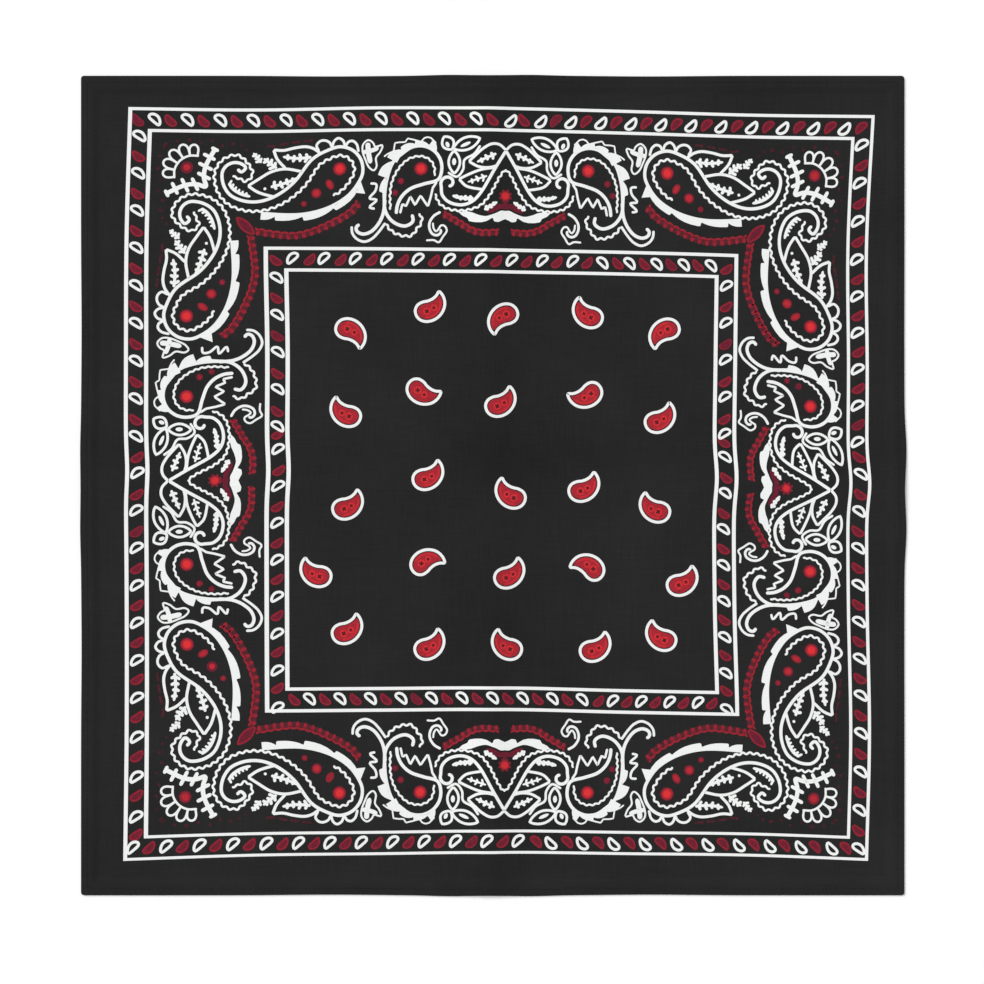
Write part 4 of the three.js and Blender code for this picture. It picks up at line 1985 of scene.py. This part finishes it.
@dataclass(frozen=True)
class Weave:
    """A plain weave: threads at an even pitch both ways, each a little uneven along its length."""

    pitch: float = 0.36
    slub: float = 0.35
    thread_scale: float = 1400.0
    drawn_out: float = 0.04

    def apply(self, bench: NodeBench) -> tuple[Socket, Socket]:
        """Adds the weave to a material.

        The height is the product of a sine each way, which rises and falls from crossing to crossing.
        Two noises, each drawn out along one set of threads, make some threads thicker than others.

        Args:
            bench: The material's nodes.

        Returns:
            The height from about -1 to 1, and the threads' unevenness from 0 to 1.
        """
        place = bench.add("ShaderNodeTexCoord").outputs["Object"]
        parts = bench.add("ShaderNodeSeparateXYZ")
        bench.join(place, parts.inputs[0])
        turns = 2.0 * math.pi / (self.pitch * MM)
        across = bench.math("SINE", bench.math("MULTIPLY", parts.outputs["X"], turns))
        upward = bench.math("SINE", bench.math("MULTIPLY", parts.outputs["Y"], turns))
        height = bench.math("MULTIPLY", across, upward)
        threads = []
        for stretch in ((1.0, self.drawn_out, 1.0), (self.drawn_out, 1.0, 1.0)):
            drawn = bench.add("ShaderNodeVectorMath", operation="MULTIPLY")
            bench.join(place, drawn.inputs[0])
            drawn.inputs[1].default_value = stretch
            threads.append(bench.noise(drawn.outputs[0], self.thread_scale, 1.0))
        uneven = bench.math("MULTIPLY", bench.math("ADD", *threads), 0.5)
        lumps = bench.swing(uneven, self.slub * 4.0)
        return bench.math("ADD", height, lumps), uneven


@dataclass(frozen=True)
class Fabric:
    """A woven finish: two near colours that the threads mix, soft wear in patches, and a fine bump."""

    name: str
    dark: tuple[float, float, float]
    light: tuple[float, float, float]
    wear: float = 0.12
    bump: float = 0.35
    bump_depth: float = 0.05
    roughness: float = 0.92
    specular: float = 0.2
    sheen: float = 0.0
    sheen_roughness: float = 0.55
    unevenness: float = 2.2
    patch_scale: float = 14.0
    patch_detail: float = 3.0
    weave: Weave = Weave()

    def share(self, bench: NodeBench, uneven: Socket) -> Socket:
        """How far the colour goes from dark to light: the threads' unevenness with broad patches."""
        place = bench.add("ShaderNodeTexCoord").outputs["Object"]
        patches = bench.noise(place, self.patch_scale, self.patch_detail)
        broad = bench.swing(patches, self.wear * 8.0)
        threads = bench.swing(uneven, self.unevenness)
        return bench.math("ADD", bench.math("ADD", broad, threads), 0.5)

    def build(self) -> bpy.types.Material:
        """Makes the material from the weave, the two colours and the bump."""
        material = bpy.data.materials.new(self.name)
        bench = NodeBench(material)
        height, uneven = self.weave.apply(bench)
        share = bench.add("ShaderNodeClamp")
        bench.join(self.share(bench, uneven), share.inputs[0])
        colour = bench.blend(share.outputs[0], self.dark, self.light)
        shader = bench.add("ShaderNodeBsdfPrincipled")
        bench.join(colour, shader.inputs["Base Color"])
        shader.inputs["Roughness"].default_value = self.roughness
        shader.inputs["Specular IOR Level"].default_value = self.specular
        shader.inputs["Sheen Weight"].default_value = self.sheen
        shader.inputs["Sheen Roughness"].default_value = self.sheen_roughness
        bump = bench.add("ShaderNodeBump")
        bump.inputs["Strength"].default_value = self.bump
        bump.inputs["Distance"].default_value = self.bump_depth * MM
        bench.join(height, bump.inputs["Height"])
        bench.join(bump.outputs[0], shader.inputs["Normal"])
        bench.join(shader.outputs[0], bench.output.inputs["Surface"])
        return material


@dataclass(frozen=True)
class CottonWithFoldShade(Fabric):
    """Cotton with painted shade: a little darker in a soft band along each packing fold, standing in for the
    shade that the fold's relief casts.

    A band is its axis, its middle, how far it spreads in millimetres, and how much darker it is.
    """

    # painted shade: a soft darker band along each packing fold, in place of the shade of the folds' relief
    painted_fold_shades: tuple[tuple[str, float, float, float], ...] = (("X", 6.0, 42.0, 0.21), ("Y", 21.0, 19.0, 0.14))

    def share(self, bench: NodeBench, uneven: Socket) -> Socket:
        """The plain share, less each band's painted shade: its depth times exp(-(distance / spread) squared).
        """
        share = super().share(bench, uneven)
        place = bench.add("ShaderNodeSeparateXYZ")
        bench.join(bench.add("ShaderNodeTexCoord").outputs["Object"], place.inputs[0])
        # darkens the colour near each fold line: painted shade, not a change in the cloth
        for axis, middle, spread, depth in self.painted_fold_shades:
            away = bench.math("SUBTRACT", place.outputs[axis], middle * MM)
            away = bench.math("DIVIDE", away, spread * MM)
            falls = bench.math("EXPONENT", bench.math("MULTIPLY", bench.math("POWER", away, 2.0), -1.0))
            share = bench.math("SUBTRACT", share, bench.math("MULTIPLY", falls, depth))
        return share


@dataclass(frozen=True)
class Printed(Fabric):
    """Ink in the weave: the colour goes by each mark's own tone, a little patchy from thread to thread."""

    patchy: float = 0.25
    patch_scale: float = 620.0
    patch_detail: float = 2.0

    def share(self, bench: NodeBench, uneven: Socket) -> Socket:
        """How far the colour goes from dark to light: the tone, with fine patches and the threads."""
        place = bench.add("ShaderNodeTexCoord").outputs["Object"]
        tone = bench.add("ShaderNodeAttribute", attribute_name=TONE).outputs["Fac"]
        patches = bench.noise(place, self.patch_scale, self.patch_detail)
        spots = bench.swing(patches, self.patchy * 4.0)
        threads = bench.swing(uneven, self.wear * 4.0)
        return bench.math("ADD", bench.math("ADD", spots, threads), tone)


# the studio


@dataclass
class Studio:
    """The pale floor, the soft light and the camera straight above.

    `face_level` is the height at which the picture is as wide as `picture_across`.
    """

    picture_across: float = 666.5
    middle_x: float = -0.8
    middle_y: float = -4.4
    lens: float = 85.0
    sensor: float = 36.0
    fill: float = 0.28
    key: float = 2.93
    key_angle: float = 36.0
    key_pitch: float = -22.8
    key_roll: float = -33.1
    face_level: float = 2.0
    floor_half: float = 2600.0
    paper: float = 0.8
    glow: float = 0.21

    def floor(self) -> None:
        """A wide pale sheet under the cloth, lit a little from below, as a light table is."""
        half = self.floor_half * MM
        corners = [(-half, -half, 0.0), (half, -half, 0.0), (half, half, 0.0), (-half, half, 0.0)]
        mesh = bpy.data.meshes.new("studio_floor")
        mesh.from_pydata(corners, [], [(0, 1, 2, 3)])
        material = bpy.data.materials.new("studio_paper")
        material.use_nodes = True
        shader = material.node_tree.nodes["Principled BSDF"]
        shader.inputs["Base Color"].default_value = (self.paper, self.paper, self.paper, 1.0)
        shader.inputs["Emission Color"].default_value = (1.0, 1.0, 1.0, 1.0)
        shader.inputs["Emission Strength"].default_value = self.glow
        shader.inputs["Roughness"].default_value = 1.0
        shader.inputs["Specular IOR Level"].default_value = 0.0
        mesh.materials.append(material)
        thing = bpy.data.objects.new("studio_floor", mesh)
        bpy.context.scene.collection.objects.link(thing)

    def lights(self) -> None:
        """An even pale fill from all round, and one broad soft key from the upper left."""
        world = bpy.data.worlds.new("studio_fill")
        bpy.context.scene.world = world
        world.use_nodes = True
        back = world.node_tree.nodes["Background"]
        back.inputs["Color"].default_value = (1.0, 1.0, 1.0, 1.0)
        back.inputs["Strength"].default_value = self.fill
        lamp = bpy.data.lights.new("studio_key", "SUN")
        lamp.energy = self.key
        lamp.angle = math.radians(self.key_angle)
        thing = bpy.data.objects.new("studio_key", lamp)
        thing.rotation_euler = (math.radians(self.key_pitch), math.radians(self.key_roll), 0.0)
        bpy.context.scene.collection.objects.link(thing)

    def camera(self) -> None:
        """A long lens straight above, as far up as makes the picture as wide as it is in the photograph."""
        data = bpy.data.cameras.new("camera")
        data.lens = self.lens
        data.sensor_width = self.sensor
        data.sensor_fit = "HORIZONTAL"
        thing = bpy.data.objects.new("camera", data)
        away = self.picture_across * self.lens / self.sensor
        thing.location = (self.middle_x * MM, self.middle_y * MM, (away + self.face_level) * MM)
        bpy.context.scene.collection.objects.link(thing)
        bpy.context.scene.camera = thing

    def build(self) -> None:
        """Sets up the stage and the plain colour handling."""
        self.floor()
        self.lights()
        self.camera()
        scene = bpy.context.scene
        scene.view_settings.view_transform = "Standard"
        scene.view_settings.look = "None"
        scene.view_settings.exposure = 0.0
        scene.view_settings.gamma = 1.0


def main() -> None:
    """Builds the bandana and its studio in order, and says what each piece is."""
    logging.basicConfig(level=logging.INFO, format="%(message)s")
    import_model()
    Studio().build()
    form = ClothForm()
    # near-black cotton, with painted shade along the packing folds
    cotton = CottonWithFoldShade(
        "near_black_cotton", (0.0088, 0.0088, 0.0088), (0.0218, 0.0218, 0.0218), wear=0.1, sheen=0.03,
        unevenness=1.0,
    )
    thread = Fabric("black_thread", (0.009, 0.009, 0.009), (0.018, 0.018, 0.018), bump=0.1)
    inks = {
        Ink.WHITE: Printed("white_ink", (0.82, 0.835, 0.825), (0.92, 0.935, 0.925), wear=0.3, bump=0.15),
        Ink.RED: Printed(
            "red_ink", (0.13, 0.011, 0.027), (0.72, 0.03, 0.036), wear=0.04, bump=0.15, patchy=0.1
        ),
        Ink.FAINT_RED: Printed(
            "faint_red_ink", (0.032, 0.011, 0.014), (0.15, 0.018, 0.032), wear=0.1, bump=0.2, patchy=0.35
        ),
        Ink.GROUND: Printed("ground_ink", (0.03, 0.009, 0.01), (0.11, 0.012, 0.018), wear=0.1, bump=0.25),
    }
    face = ClothFace(form)
    shell = face.build(cotton.build())
    turned = cotton.build()
    pieces = [Hem(form, side).build(turned) for side in Side]
    pieces.append(Stitching(face).build(thread.build()))
    pieces += ClothPrint(face).build({ink: finish.build() for ink, finish in inks.items()})


if __name__ == "__main__":
    main()
